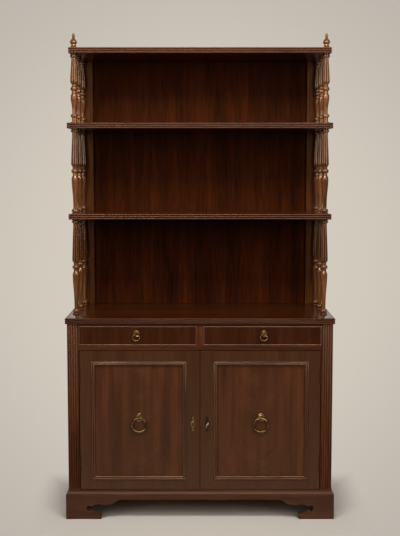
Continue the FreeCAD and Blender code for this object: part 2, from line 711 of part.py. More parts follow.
def make_carcass():
    """Sides, back, bottom board and rails of the base."""
    side = node("base_side_left", board(
        "base_side_left", -side_outer, -side_inner, post_back, case_back, size.plinth_height, top_under))
    hole = size.peg_radius + size.spigot_play
    peg_level = size.inner_shelf_height - size.peg_radius
    rows = (post_back + size.peg_inset, case_back - size.peg_inset)
    bores = [(row, peg_level, hole) for row in rows]
    pocket(side, "YZ_Plane", -side_inner - size.peg_hold, -side_inner, circles=bores)
    mirrored("base_side_right", side)
    pegs = []
    for place in (-1, 1):
        ends = (side_inner * place + size.peg_hold * place, side_inner * place - size.peg_reach * place)
        low, high = sorted(ends, key=lambda end: end.number)
        for row in rows:
            peg = new_body("shelf_peg")
            pad(peg, "YZ_Plane", low, high, circles=[(row, peg_level, size.peg_radius)])
            pegs.append(peg)
    group("shelf_pegs", pegs)
    shelf_edge = side_inner - size.inner_shelf_play
    node("inner_shelf", board(
        "inner_shelf", -shelf_edge, shelf_edge, door_back + size.inner_shelf_set_back,
        case_back - size.inner_shelf_play, size.inner_shelf_height,
        size.inner_shelf_height + size.inner_shelf_thickness))
    node("base_back", board(
        "base_back", -side_outer, side_outer, case_back, top_back, size.plinth_height, top_under))
    bottom = node("bottom_board", new_body("bottom_board"))
    stop = door_back + size.stop_play
    pad(bottom, "XY_Plane", bottom_under, bottom_upper, [[
        (-post_inner, stop), (post_inner, stop), (post_inner, post_back), (side_inner, post_back),
        (side_inner, case_back), (-side_inner, case_back), (-side_inner, post_back),
        (-post_inner, post_back)]])
    margin = size.cut_margin
    pocket(bottom, "YZ_Plane", -side_inner - margin, side_inner + margin, [rectangle(
        top_back - size.plinth_thickness, case_back + margin, bottom_under - margin, size.plinth_height)])
    node("top_rail", board(
        "top_rail", -post_inner, post_inner, rail_front, post_back, drawer_ceiling, top_under))
    node("mid_rail", board(
        "mid_rail", -post_inner, post_inner, rail_front, post_back, mid_rail_under, drawer_floor))
    half = size.divider_width / 2
    node("drawer_divider", board(
        "drawer_divider", -half, half, rail_front, post_back, drawer_floor, drawer_ceiling))


def make_runners():
    """Runners under the drawers, with guide strips beside them."""
    under = drawer_floor - size.runner_thickness
    guide = drawer_floor + size.guide_height
    inner = post_inner - size.runner_width
    half = size.divider_width / 2
    wide = half + size.runner_width
    side_corners = [
        (-side_inner, under), (-inner, under), (-inner, drawer_floor), (-post_inner, drawer_floor),
        (-post_inner, guide), (-side_inner, guide)]
    middle_corners = [
        (-wide, under), (wide, under), (wide, drawer_floor), (half, drawer_floor), (half, guide),
        (-half, guide), (-half, drawer_floor), (-wide, drawer_floor)]
    left = new_body("side_runner")
    pad(left, "XZ_Plane", post_back, case_back, [side_corners])
    middle = new_body("middle_runner")
    pad(middle, "XZ_Plane", post_back, case_back, [middle_corners])
    group("drawer_runners", [left, middle, mirror_image(left)])


def foot_corners(end, side):
    """One shaped foot as an outline from its toe on the floor up to the straight apron. The plinth ends at
    end, and side says which way the apron lies: 1 for towards +."""
    def place(inset):
        return end + inset * side

    floor = -size.cut_margin
    toe = place(size.foot_length)
    return [
        (toe - size.toe_slope * side, floor),
        (toe, size.toe_height, size.toe_rise * side),
        (place(size.neck_inset), size.neck_low, size.hole_depth * side),
        (place(size.neck_inset), size.neck_high, size.neck_rise * side),
        (place(size.cusp_inset), size.cusp_height, size.cusp_rise * -side),
        (place(size.lobe_inset), size.lobe_height, size.lobe_rise * -side),
        (place(size.swell_inset), size.swell_height, size.swell_rise * side),
        (place(size.apron_inset), size.apron_height),
    ]


def make_plinth():
    """Mitred plinth boards with hollowed bevels and shaped feet, a plain back board and glue blocks."""
    margin = size.cut_margin
    bevel_low = size.plinth_height - size.plinth_bevel
    thick = size.plinth_thickness
    height = size.plinth_height

    front = node("plinth_front", new_body("plinth_front"))
    inner = plinth_front + thick
    pad(front, "YZ_Plane", -plinth_half, plinth_half, [[
        (inner, ZERO), (inner, height), (case_front, height, size.plinth_hollow), (plinth_front, bevel_low),
        (plinth_front, ZERO)]])
    mitres = []
    for side in (-1, 1):
        mitres.append([
            ((plinth_half + margin) * side, plinth_front - margin),
            ((plinth_half - thick - margin) * side, inner + margin),
            ((plinth_half + margin) * side, inner + margin)])
    pocket(front, "XY_Plane", -margin, height + margin, mitres)
    right_foot = [turn_over(corner) for corner in foot_corners(-plinth_half, 1)]
    outline = join_feet(foot_corners(-plinth_half, 1), right_foot)
    pocket(front, "XZ_Plane", plinth_front - margin, inner + margin, [outline])

    side_board = node("plinth_left", new_body("plinth_left"))
    pad(side_board, "XZ_Plane", plinth_front, top_back, [[
        (-plinth_inner, ZERO), (-plinth_inner, height), (-case_half, height, size.plinth_hollow),
        (-plinth_half, bevel_low), (-plinth_half, ZERO)]])
    pocket(side_board, "XY_Plane", -margin, height + margin, [[
        (-plinth_half - margin, plinth_front - margin), (-plinth_inner + margin, inner + margin),
        (-plinth_inner + margin, plinth_front - margin)]])
    back_toe = top_back - size.back_foot_length
    back_foot = [
        (back_toe - size.back_foot_flare, size.apron_height, -size.back_foot_rise),
        (back_toe, size.back_toe_height),
        (back_toe, -margin)]
    pocket(side_board, "YZ_Plane", -plinth_half - margin, -plinth_inner + margin,
           [foot_corners(plinth_front, 1) + back_foot])
    mirrored("plinth_right", side_board)

    back = node("plinth_back", new_body("plinth_back"))
    back_inner = top_back - thick
    leg = plinth_inner - size.back_foot_length
    pad(back, "XZ_Plane", back_inner, top_back, [[
        (-plinth_inner, ZERO), (-leg, ZERO), (-leg, size.apron_height), (leg, size.apron_height), (leg, ZERO),
        (plinth_inner, ZERO), (plinth_inner, height), (-plinth_inner, height)]])

    blocks = []
    for side in (-1, 1):
        ends = (plinth_inner * side, (plinth_inner - size.block_size) * side)
        left, right = sorted(ends, key=lambda end: end.number)
        blocks.append(board(
            "front_block", left, right, inner, inner + size.block_size, size.block_lift, bottom_under))
        blocks.append(board(
            "back_block", left, right, back_inner - size.block_size, back_inner, size.block_lift,
            bottom_under))
    group("plinth_blocks", blocks)


def turn_over(corner):
    """The corner on the other side of the middle line."""
    if len(corner) == 3:
        return (-corner[0], corner[1], -corner[2])
    return (-corner[0], corner[1])


def join_feet(left, right):
    """One closed outline from a left foot and its mirror image, whose arcs then leave the next corner."""
    back = []
    for index in range(len(right) - 1, -1, -1):
        corner = right[index][:2]
        if index > 0 and len(right[index - 1]) == 3:
            corner = corner + (-right[index - 1][2],)
        back.append(corner)
    return left + back


def make_drawer():
    """The left drawer: front, cock beads, box and bottom."""
    outer = -(post_inner - size.drawer_gap)
    inner = -(size.divider_width / 2 + size.drawer_gap)
    low = drawer_floor + size.drawer_gap
    high = drawer_ceiling - size.drawer_gap
    bead = size.bead_width
    face_back = rail_front + size.drawer_front_thickness
    side_foot = drawer_floor + size.drawer_slide_play
    bottom_low = side_foot + size.drawer_bottom_lift
    bottom_high = bottom_low + size.drawer_bottom_thickness
    groove = size.drawer_groove

    front = node("left_drawer_front", new_body("left_drawer_front"))
    pad(front, "YZ_Plane", outer + bead, inner - bead, [[
        (rail_front, low + bead), (face_back, low + bead), (face_back, bottom_low),
        (face_back - groove, bottom_low), (face_back - groove, bottom_high), (face_back, bottom_high),
        (face_back, high - bead), (rail_front, high - bead)]])

    crest = rail_front - size.bead_proud + size.bead_rise
    foot = rail_front + size.bead_depth
    strips = []
    for edge in (low, high - bead):
        strip = new_body("bead_strip")
        pad(strip, "YZ_Plane", outer, inner, [[
            (foot, edge + bead), (crest, edge + bead, -size.bead_rise), (crest, edge), (foot, edge)]])
        strips.append(strip)
    for edge in (outer, inner - bead):
        strip = new_body("bead_strip")
        pad(strip, "XY_Plane", low + bead, high - bead, [[
            (edge, foot), (edge, crest, -size.bead_rise), (edge + bead, crest), (edge + bead, foot)]])
        strips.append(strip)
    group("left_drawer_bead", strips)

    box_back = rail_front + size.drawer_length
    thick = size.drawer_side_thickness
    side_top = drawer_ceiling - size.drawer_side_drop
    sides = []
    left = outer + size.drawer_side_play
    right = inner - size.drawer_side_play
    for face, towards in ((left, 1), (right, -1)):
        side = new_body("drawer_side")
        inside = face + thick * towards
        slot = inside - groove * towards
        pad(side, "XZ_Plane", face_back, box_back, [[
            (face, side_foot), (inside, side_foot), (inside, bottom_low), (slot, bottom_low),
            (slot, bottom_high), (inside, bottom_high), (inside, side_top), (face, side_top)]])
        sides.append(side)
    sides.append(board(
        "drawer_back", left + thick, right - thick, box_back - thick, box_back, bottom_high, side_top))
    group("left_drawer_box", sides)
    node("left_drawer_bottom", board(
        "left_drawer_bottom", left + thick - groove, right - thick + groove, face_back - groove, box_back,
        bottom_low, bottom_high))
    for name in ("drawer_front", "drawer_bead", "drawer_box", "drawer_bottom"):
        mirrored("right_" + name, nodes["left_" + name])


def make_pull(name, across, face, height, ring, wire, plate, boss, plate_height, standoff):
    """A rosette with an eye, and the ring that hangs in the eye."""
    rosette = node("left_%s_rosette" % name, new_body("left_%s_rosette" % name))
    rim = plate_height / 2
    turned(rosette, "XY_Plane", "V_Axis", (across, face, height), [
        (ZERO, ZERO), (plate, ZERO), (plate, -rim), (boss, -rim), (boss, -plate_height),
        (ZERO, -plate_height)])
    hole = wire + size.eye_play
    round_eye = hole + size.eye_wall
    half = size.eye_half_width
    centre = face - standoff
    pad(rosette, "YZ_Plane", across - half, across + half, [[
        (face - rim, height + round_eye), (centre, height + round_eye, round_eye * -NEARLY_HALF_ROUND),
        (centre, height - round_eye), (face - rim, height - round_eye)]])
    pocket(rosette, "YZ_Plane", across - half * 3, across + half * 3, circles=[(centre, height, hole)])
    hanging = node("left_%s_ring" % name, new_body("left_%s_ring" % name))
    turned(hanging, "XY_Plane", "V_Axis", (across, centre, height - ring), octagon(ring, ZERO, wire))
    mirrored("right_%s_rosette" % name, rosette)
    mirrored("right_%s_ring" % name, hanging)


def make_pulls():
    """Ring pulls on the doors and smaller ones on the drawers."""
    panel_face = door_front + size.door_lip
    make_pull("door", -(door_outer - size.pull_inset), panel_face, door_low + size.pull_height,
              size.pull_radius, size.pull_wire, size.pull_rosette_radius, size.pull_boss_radius,
              size.pull_rosette_height, size.pull_standoff)
    make_pull("drawer", -(post_inner - size.drop_inset), rail_front, drawer_floor + size.drop_height,
              size.drop_radius, size.drop_wire, size.drop_rosette_radius, size.drop_boss_radius,
              size.drop_rosette_height, size.drop_standoff)


def door_stile(name, edge, towards, width):
    """A door upright with the panel groove in its inner edge."""
    body = new_body(name)
    inside = edge + width * towards
    slot = inside - size.door_groove * towards
    groove_front = door_front + size.door_lip
    groove_back = groove_front + size.door_panel_thickness
    pad(body, "XY_Plane", door_low, door_high, [[
        (edge, door_front), (inside, door_front), (inside, groove_front), (slot, groove_front),
        (slot, groove_back), (inside, groove_back), (inside, door_back), (edge, door_back)]])
    return body


def door_rail(name, left, right, edge, inside, slot):
    """A door rail with the panel groove in its inner edge and stub tenons in the grooves of the stiles."""
    body = new_body(name)
    groove_front = door_front + size.door_lip
    groove_back = groove_front + size.door_panel_thickness
    pad(body, "YZ_Plane", left, right, [[
        (door_front, edge), (door_front, inside), (groove_front, inside), (groove_front, slot),
        (groove_back, slot), (groove_back, inside), (door_back, inside), (door_back, edge)]])
    reach = size.door_groove
    low, high = sorted((edge, slot), key=lambda end: end.number)
    pad(body, "XY_Plane", low, high, [rectangle(left - reach, right + reach, groove_front, groove_back)])
    return body


def moulding_strip(name, across, up, length, angle):
    """One mitred strip of applied moulding. It is made lying along X with its outer edge up, then turned
    about Y and moved so that the outer edge's middle comes to the given place."""
    body = new_body(name)
    lap = size.moulding_lap
    wide = size.moulding_width
    proud = -size.moulding_proud
    lip = size.door_lip
    quirk = -size.moulding_quirk
    half = length / 2
    margin = size.cut_margin
    pad(body, "YZ_Plane", -half, half, [[
        (ZERO, ZERO), (ZERO, -lap), (lip, -lap), (lip, -wide), (quirk, -wide, size.moulding_rise),
        (proud, -lap, size.moulding_rise), (quirk, ZERO)]])
    mitres = []
    for side in (-1, 1):
        mitres.append([
            ((half + margin) * side, margin), ((half - wide - margin) * side, -wide - margin),
            ((half + margin) * side, -wide - margin)])
    pocket(body, "XZ_Plane", proud - margin, lip + margin, mitres)
    body.Placement = FreeCAD.Placement(Vector(0, 0, 0), FreeCAD.Rotation(Vector(0, 1, 0), angle))
    body.setExpression("Placement.Base.x", across.formula)
    body.setExpression("Placement.Base.y", door_front.formula)
    body.setExpression("Placement.Base.z", up.formula)
    return body


def keyhole(across):
    """The outline of a keyhole: a round over a slot."""
    slot = size.keyhole_half_slot
    shoulder = size.lock_height - size.keyhole_shoulder
    foot = size.lock_height - size.keyhole_slot
    return [(across - slot, foot), (across + slot, foot), (across + slot, shoulder, -size.keyhole_rise),
            (across - slot, shoulder)]


def door_opening(hand):
    """Left, right, lower and upper edges of the opening in a door frame."""
    ends = ((door_outer - size.hinge_stile_width) * hand, (door_inner + size.meeting_stile_width) * hand)
    left, right = sorted(ends, key=lambda end: end.number)
    return left, right, door_low + size.door_bottom_rail, door_high - size.door_top_rail


def make_door(prefix, hand):
    """A framed door with its panel and applied moulding. The hand is -1 for the left door."""
    left, right, low, high = door_opening(hand)
    groove = size.door_groove
    hinge_stile = door_stile(
        prefix + "_hinge_stile", door_outer * hand, -hand, size.hinge_stile_width)
    meeting_stile = door_stile(
        prefix + "_meeting_stile", door_inner * hand, hand, size.meeting_stile_width)
    bottom_rail = door_rail(prefix + "_bottom_rail", left, right, door_low, low, low - groove)
    top_rail = door_rail(prefix + "_top_rail", left, right, door_high, high, high + groove)
    group(prefix + "_frame", [hinge_stile, meeting_stile, bottom_rail, top_rail])
    reach = groove - size.door_panel_play
    panel_front_face = door_front + size.door_lip
    node(prefix + "_panel", board(
        prefix + "_panel", left - reach, right + reach, panel_front_face,
        panel_front_face + size.door_panel_thickness, low - reach, high + reach))
    lap = size.moulding_lap
    middle = (left + right) / 2
    centre = (low + high) / 2
    wide = right - left + lap * 2
    tall = high - low + lap * 2
    group(prefix + "_moulding", [
        moulding_strip(prefix + "_moulding_top", middle, high + lap, wide, 0),
        moulding_strip(prefix + "_moulding_right", right + lap, centre, tall, 90),
        moulding_strip(prefix + "_moulding_bottom", middle, low - lap, wide, 180),
        moulding_strip(prefix + "_moulding_left", left - lap, centre, tall, 270)])
    return meeting_stile


def make_escutcheon(prefix, hand):
    """A pointed oval plate with a round lobe at each end and a keyhole."""
    name = prefix + "_escutcheon"
    body = node(name, new_body(name))
    across = size.lock_inset * hand
    front = door_front - size.plate_thickness
    tall = size.plate_half_height
    bulge = size.plate_half_width
    axis = size.lock_height
    pad(body, "XZ_Plane", front, door_front, [[(across, axis + tall, bulge), (across, axis - tall, bulge)]])
    for lobe in (axis + size.plate_lobe_reach, axis - size.plate_lobe_reach):
        pad(body, "XZ_Plane", front, door_front, circles=[(across, lobe, size.plate_lobe_radius)])
    margin = size.cut_margin
    pocket(body, "XZ_Plane", front - margin, door_front + margin, [keyhole(across)])


def make_lock(meeting_stile):
    """The lock let into the back of the right door's meeting stile: case, bolt and key."""
    margin = size.cut_margin
    axis = size.lock_height
    across = size.lock_inset
    edge = door_inner
    far = edge + size.lock_width
    low = axis - size.lock_case_height / 2
    high = axis + size.lock_case_height / 2
    case_face = door_back - size.lock_depth
    pocket(meeting_stile, "XY_Plane", low, high, [[
        (edge - margin, case_face), (far, case_face), (far, door_back + margin),
        (edge - margin, door_back + margin)]])
    pocket(meeting_stile, "XZ_Plane", door_front - margin, case_face + margin, [keyhole(across)])

    wall = size.lock_wall
    bolt_low = axis + size.bolt_lift
    bolt_high = bolt_low + size.bolt_height
    bolt_back = door_back - wall - size.bolt_inset
    bolt_front = bolt_back - size.bolt_thickness
    play = size.bolt_play
    case = node("lock_case", new_body("lock_case"))
    pad(case, "XY_Plane", low, high, [rectangle(edge, far, case_face, door_back)])
    pocket(case, "XY_Plane", low + wall, high - wall, [rectangle(
        edge + wall, far - wall, case_face + wall, door_back - wall)])
    pocket(case, "YZ_Plane", edge - margin, edge + wall + margin / 2, [rectangle(
        bolt_front - play, bolt_back + play, bolt_low - play, bolt_high + play)])
    pocket(case, "XZ_Plane", case_face - margin, case_face + wall + margin / 4, [keyhole(across)])

    bolt_tip = edge + size.bolt_rest
    node("lock_bolt", board(
        "lock_bolt", bolt_tip, bolt_tip + size.bolt_length, bolt_front, bolt_back, bolt_low, bolt_high))
    make_key(across, axis, case_face + wall)
    return bolt_front, bolt_back, bolt_low, bolt_high


def make_key(across, axis, cavity_face):
    """The key, turned by its slant about the axis along Y: a ring bow, a shank and a bit in the lock."""
    key = node("key", new_body("key"))
    bow_end = door_front - size.plate_thickness - size.key_reach
    tip = cavity_face + size.key_bit_length + size.bolt_play * 2
    turned(key, "XY_Plane", "V_Axis", (0, 0, 0), [
        (ZERO, bow_end), (size.key_radius, bow_end), (size.key_radius, tip), (ZERO, tip)])
    bow_centre = bow_end - size.key_bow_radius + size.key_bow_lap
    bow_inside = size.key_bow_radius - size.key_bow_band
    bow_circles = [(bow_centre, ZERO, size.key_bow_radius), (bow_centre, ZERO, bow_inside)]
    pad(key, "YZ_Plane", -size.key_bow_half, size.key_bow_half, circles=bow_circles)
    bit_back = tip - size.bolt_play
    pad(key, "XY_Plane", -size.key_bit_radius, ZERO, [rectangle(
        -size.key_bit_half, size.key_bit_half, bit_back - size.key_bit_length, bit_back)])
    slant = FreeCAD.Rotation(Vector(0, 1, 0), -size.key_slant.number)
    key.Placement = FreeCAD.Placement(Vector(0, 0, 0), slant)
    key.setExpression("Placement.Rotation.Angle", size.key_slant.formula)
    key.setExpression("Placement.Base.x", across.formula)
    key.setExpression("Placement.Base.z", axis.formula)


def make_doors():
    """Both doors, their escutcheons, the lock and the mortise for its bolt."""
    left_stile = make_door("left_door", -1)
    right_stile = make_door("right_door", 1)
    make_escutcheon("left_door", -1)
    make_escutcheon("right_door", 1)
    bolt_front, bolt_back, bolt_low, bolt_high = make_lock(right_stile)
    play = size.mortise_play
    margin = size.cut_margin
    pocket(left_stile, "YZ_Plane", -door_inner - size.mortise_depth, -door_inner + margin, [rectangle(
        bolt_front - play, bolt_back + play, bolt_low - play, bolt_high + play)])
    bore = door_front + size.keyhole_bore
    pocket(left_stile, "XZ_Plane", door_front - margin, bore, [keyhole(-size.lock_inset)])


def hinge_leaf(name, low, high, knuckle_low, knuckle_high, plate, tab_front):
    """A hinge leaf on the left side of the case: a plate in the gap, with one knuckle round the pin."""
    body = new_body(name)
    axis_x = -(post_inner - size.barrel_radius - size.barrel_play)
    axis_y = door_front - size.swing_play - size.barrel_radius
    leaf_back = door_front + size.leaf_depth
    pad(body, "XY_Plane", low, high, [rectangle(plate[0], plate[1], door_front, leaf_back)])
    pad(body, "XY_Plane", knuckle_low, knuckle_high, [rectangle(plate[0], plate[1], tab_front, door_front)])
    pad(body, "XY_Plane", knuckle_low, knuckle_high, circles=[(axis_x, axis_y, size.barrel_radius)])
    bore = size.pin_radius + size.pin_play
    pocket(body, "XY_Plane", low - size.cut_margin, high + size.cut_margin, circles=[(axis_x, axis_y, bore)])
    return body


def make_hinges():
    """Two hinges on each door. The post leaf has the lower knuckle and the door leaf the upper one."""
    thick = size.leaf_thickness
    axis_x = -(post_inner - size.barrel_radius - size.barrel_play)
    axis_y = door_front - size.swing_play - size.barrel_radius
    post_plate = (-post_inner, -post_inner + thick)
    door_plate = (-door_outer - thick, -door_outer)
    door_tab = axis_y + size.barrel_radius - size.leaf_lap
    post_leaves = []
    door_leaves = []
    pins = []
    for low in (door_low + size.hinge_inset, door_high - size.hinge_inset - size.hinge_height):
        high = low + size.hinge_height
        middle = low + size.hinge_height / 2
        play = size.knuckle_play / 2
        post_leaves.append(hinge_leaf("post_leaf", low, high, low, middle - play, post_plate, axis_y))
        door_leaves.append(hinge_leaf("door_leaf", low, high, middle + play, high, door_plate, door_tab))
        pin = new_body("hinge_pin")
        tip = size.pin_tip
        pad(pin, "XY_Plane", low - tip, high + tip, circles=[(axis_x, axis_y, size.pin_radius)])
        pins.append(pin)
    group("left_door_hinge_leaves", door_leaves)
    mirrored("right_door_hinge_leaves", nodes["left_door_hinge_leaves"])
    for name, pieces in (("post_hinge_leaves", post_leaves), ("hinge_pins", pins)):
        group(name, pieces + [mirror_image(piece) for piece in pieces])


def check_and_write():
    """Stop on any failed object or bad solid, then write one file for each sub-part."""
    doc.recompute()
    failed = [item.Label for item in doc.Objects if "Invalid" in item.State or "Error" in item.State]
    if failed:
        raise RuntimeError("failed to build: %s" % failed)
    for name, piece in nodes.items():
        if piece.Shape.isNull() or not piece.Shape.isValid() or not piece.Shape.Solids:
            raise RuntimeError("bad shape: %s" % name)
    os.makedirs("parts", exist_ok=True)
    for name, piece in nodes.items():
        piece.Shape.exportStep("parts/%s.step" % name)


make_plinth()
make_carcass()
make_runners()
make_posts()
make_tops()
make_columns(
    "lower_columns", size.top_height, lower_shelf_under, size.lower_ring_height, size.lower_bead_height)
make_columns(
    "middle_columns", lower_shelf_face, middle_shelf_under, size.middle_ring_height, size.middle_bead_height)
make_columns(
    "upper_columns", middle_shelf_face, top_shelf_under, size.upper_ring_height, size.upper_bead_height)
make_finials()
make_bookcase_back()
make_drawer()
make_doors()
make_hinges()
make_pulls()
check_and_write()
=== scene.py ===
# %% [markdown]
# # A mahogany bookcase cupboard
# This lesson dresses the construction model of an old bookcase: three open shelves on turned columns, over
# a cupboard with two drawers and two panelled doors. The model arrives with every board at its real size
# and place. What is left for Blender is what a cabinet maker does last: soften the edges, carve the reeds,
# cast the brass and lay the polish on.

# %% Load the construction model
import json
import math
import bpy
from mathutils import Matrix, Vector
from mathutils.geometry import interpolate_bezier


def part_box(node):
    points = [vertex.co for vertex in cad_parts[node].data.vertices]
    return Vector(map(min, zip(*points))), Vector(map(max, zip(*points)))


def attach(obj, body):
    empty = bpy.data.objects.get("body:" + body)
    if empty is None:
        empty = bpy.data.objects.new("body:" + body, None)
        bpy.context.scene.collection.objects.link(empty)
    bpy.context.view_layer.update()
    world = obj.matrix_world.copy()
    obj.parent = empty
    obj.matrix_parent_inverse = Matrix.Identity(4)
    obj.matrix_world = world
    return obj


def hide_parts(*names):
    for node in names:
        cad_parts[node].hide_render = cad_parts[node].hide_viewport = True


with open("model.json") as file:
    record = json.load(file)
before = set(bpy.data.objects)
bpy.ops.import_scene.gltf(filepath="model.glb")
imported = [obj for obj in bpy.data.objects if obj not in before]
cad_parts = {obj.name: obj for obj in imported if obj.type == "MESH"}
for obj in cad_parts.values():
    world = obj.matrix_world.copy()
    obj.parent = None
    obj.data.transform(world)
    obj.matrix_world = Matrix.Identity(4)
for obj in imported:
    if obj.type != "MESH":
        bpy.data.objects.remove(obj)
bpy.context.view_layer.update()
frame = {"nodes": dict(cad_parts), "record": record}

MM = 0.001
scene = bpy.context.scene
print("loaded", len(frame["nodes"]), "pieces of the construction model")

# %% [markdown]
# ## The camera
# The picture was taken from straight in front, a little above the middle shelf, looking slightly down. A
# long lens keeps the sides nearly parallel. The distance and the lens were worked out from edges whose real
# sizes are known, such as the shelves and the base top, so nothing has to be fitted by eye.

# %% Place the camera
LENS = 69.26
SENSOR_WIDTH = 36.0
CAMERA_PLACE = (0.0, -4.0207, 1.3151)
DOWNWARD_TILT = 5.445
camera_data = bpy.data.cameras.new("camera")
camera_data.lens = LENS
camera_data.sensor_width = SENSOR_WIDTH
camera = bpy.data.objects.new("camera", camera_data)
camera.location = CAMERA_PLACE
camera.rotation_euler = (math.radians(90.0 - DOWNWARD_TILT), 0.0, 0.0)
scene.collection.objects.link(camera)
scene.camera = camera
scene.view_settings.view_transform = "Standard"
print("camera at", tuple(camera.location))

# %% [markdown]
# ## Colours and nodes
# Colours are written as they would be picked from a screen, and one function turns them into the linear
# values that a shader mixes. A second small function adds a node to a material, sets what is constant on it
# and links the rest, so that each material below reads from its coordinates down to its shader. Three
# settings come back again and again and have a name: a soft start and end, a mix of colours, and the larger
# of two values.

# %% Helpers for every material
SOFTLY = {"interpolation_type": "SMOOTHSTEP"}
COLOURS = {"data_type": "RGBA"}
LARGER = {"operation": "MAXIMUM"}


def colour(code):
    """A screen colour such as #4a2e1e as linear red, green, blue and alpha."""
    parts = [int(code[start:start + 2], 16) / 255 for start in (1, 3, 5)]
    linear = [part / 12.92 if part <= 0.04045 else ((part + 0.055) / 1.055) ** 2.4 for part in parts]
    return (*linear, 1.0)


def add(tree, kind, settings=None, **inputs):
    """Add one node. An input is a number, a colour or another node's output; _0, _1 count the inputs."""
    node = tree.nodes.new(kind)
    for name, value in (settings or {}).items():
        setattr(node, name, value)
    for name, value in inputs.items():
        socket = node.inputs[int(name[1:])] if name[0] == "_" else node.inputs[name.replace("_", " ")]
        if isinstance(value, bpy.types.NodeSocket):
            tree.links.new(value, socket)
        else:
            socket.default_value = value
    return node


def new_tree(name):
    """An empty material and its node tree."""
    material = bpy.data.materials.new(name)
    material.use_nodes = True
    material.node_tree.nodes.clear()
    return material, material.node_tree


print("a mid brown in linear values:", [round(part, 3) for part in colour("#4a2e1e")])

# %% [markdown]
# ## The paper floor
# The bookcase stands on a pale paper sweep, as in a studio. A whole studio could be built round it, but a
# disc that fades out round the case is enough: it runs into the pale background without a line, whichever
# side is looked at, and it still catches the shadow under the feet. Under the case, where hardly any light
# can get in, an occlusion node paints a dark shadow onto the paper.

# %% Paper floor
FLOOR_RADIUS = 3.4
FLOOR_DROP = 0.5 * MM
SIDE_FADE = {"From_Min": 0.50, "From_Max": 0.68}
BACK_FADE = {"From_Min": 0.08, "From_Max": 0.40}
FRONT_FADE = {"From_Min": -0.40, "From_Max": -0.90}
PAPER = ("#bfbebd", "#c5c4c2")
PAPER_PATCH = 625 * MM
# Painted shadow: under the case an occlusion node darkens the paper towards this tone.
FLOOR_PAINTED_SHADOW = "#3a342c"
SHADOW_REACH = 0.15
SHADOW_FADE = {"From_Min": 0.15, "From_Max": 0.5, "To_Min": 0.85, "To_Max": 0.0}
bpy.ops.object.select_all(action="DESELECT")
bpy.ops.mesh.primitive_circle_add(vertices=96, radius=FLOOR_RADIUS, fill_type="NGON",
                                  location=(0.0, 0.0, -FLOOR_DROP))
floor = bpy.context.object
floor.name = "paper_floor"
paper, tree = new_tree("matt_paper_sweep")
place = add(tree, "ShaderNodeTexCoord")
spot = add(tree, "ShaderNodeSeparateXYZ", Vector=place.outputs["Object"])
aside = add(tree, "ShaderNodeMath", {"operation": "ABSOLUTE"}, _0=spot.outputs["X"])
sides = add(tree, "ShaderNodeMapRange", SOFTLY, Value=aside.outputs[0], **SIDE_FADE)
back = add(tree, "ShaderNodeMapRange", SOFTLY, Value=spot.outputs["Y"], **BACK_FADE)
front = add(tree, "ShaderNodeMapRange", SOFTLY, Value=spot.outputs["Y"], **FRONT_FADE)
ends = add(tree, "ShaderNodeMath", LARGER, _0=back.outputs["Result"], _1=front.outputs["Result"])
fade = add(tree, "ShaderNodeMath", LARGER, _0=sides.outputs["Result"], _1=ends.outputs[0])
mottle = add(tree, "ShaderNodeTexNoise", Vector=place.outputs["Object"], Scale=1 / PAPER_PATCH, Detail=2.0)
tone = add(tree, "ShaderNodeMix", COLOURS, _0=mottle.outputs["Fac"], _6=colour(PAPER[0]),
           _7=colour(PAPER[1]))
# Painted shadow under the case: the paper is darkened where the occlusion node finds it closed in.
under = add(tree, "ShaderNodeAmbientOcclusion", {"samples": 8}, Distance=SHADOW_REACH)
painted_shadow = add(tree, "ShaderNodeMapRange", SOFTLY, Value=under.outputs["AO"], **SHADOW_FADE)
darkened_in_hollows = add(tree, "ShaderNodeMix", COLOURS, _0=painted_shadow.outputs["Result"], _6=tone.outputs[2],
            _7=colour(FLOOR_PAINTED_SHADOW))
matt = add(tree, "ShaderNodeBsdfDiffuse", Color=darkened_in_hollows.outputs[2])
clear = add(tree, "ShaderNodeBsdfTransparent")
joined = add(tree, "ShaderNodeMixShader", _0=fade.outputs[0], _1=matt.outputs[0], _2=clear.outputs[0])
add(tree, "ShaderNodeOutputMaterial", Surface=joined.outputs[0])
floor.data.materials.append(paper)
print("the floor fades out between", list(SIDE_FADE.values()), "m to both sides")

# %% [markdown]
# ## The room
# Polished wood shows the room that it stands in. A picture of a room could be wrapped round the scene, but
# two tones do as well: the sweep behind and below is pale, and the side where the camera stands is dim. The
# pale sweep is painted darker away from the middle of the front view, as painted shade at its edges.
# That is why the back of the shelves looks nearly black while the columns shine, and why the doors turn
# greyer towards the floor. Only what is seen or mirrored has these tones. The light that the room itself
# gives is weak, so the lamps make the shadows.

# %% Room
# The second sweep tone is painted shade towards the edges of the background.
SWEEP = ("#d2cabd", "#bcb5ab")
DIM_SIDE = "#2b2723"
PICTURE_MIDDLE = (0.0, 0.99, -0.09)
PAINTED_EDGE_SHADE = {"From_Min": 0.12, "From_Max": 0.34}
PALE_BEHIND = {"From_Min": -0.35, "From_Max": 0.45}
PALE_BELOW = {"From_Min": -0.15, "From_Max": -0.24}
FILL_COLOUR = "#fff4e6"
FILL_STRENGTH = 0.07
room = bpy.data.worlds.new("studio_room")
room.use_nodes = True
scene.world = room
tree = room.node_tree
tree.nodes.clear()
look = add(tree, "ShaderNodeTexCoord")
way = add(tree, "ShaderNodeSeparateXYZ", Vector=look.outputs["Generated"])
path = add(tree, "ShaderNodeLightPath")
behind = add(tree, "ShaderNodeMapRange", SOFTLY, Value=way.outputs["Y"], **PALE_BEHIND)
below = add(tree, "ShaderNodeMapRange", SOFTLY, Value=way.outputs["Z"], **PALE_BELOW)
around = add(tree, "ShaderNodeMath", LARGER, _0=behind.outputs["Result"], _1=below.outputs["Result"])
pale = add(tree, "ShaderNodeMath", LARGER, _0=around.outputs[0], _1=path.outputs["Is Camera Ray"])
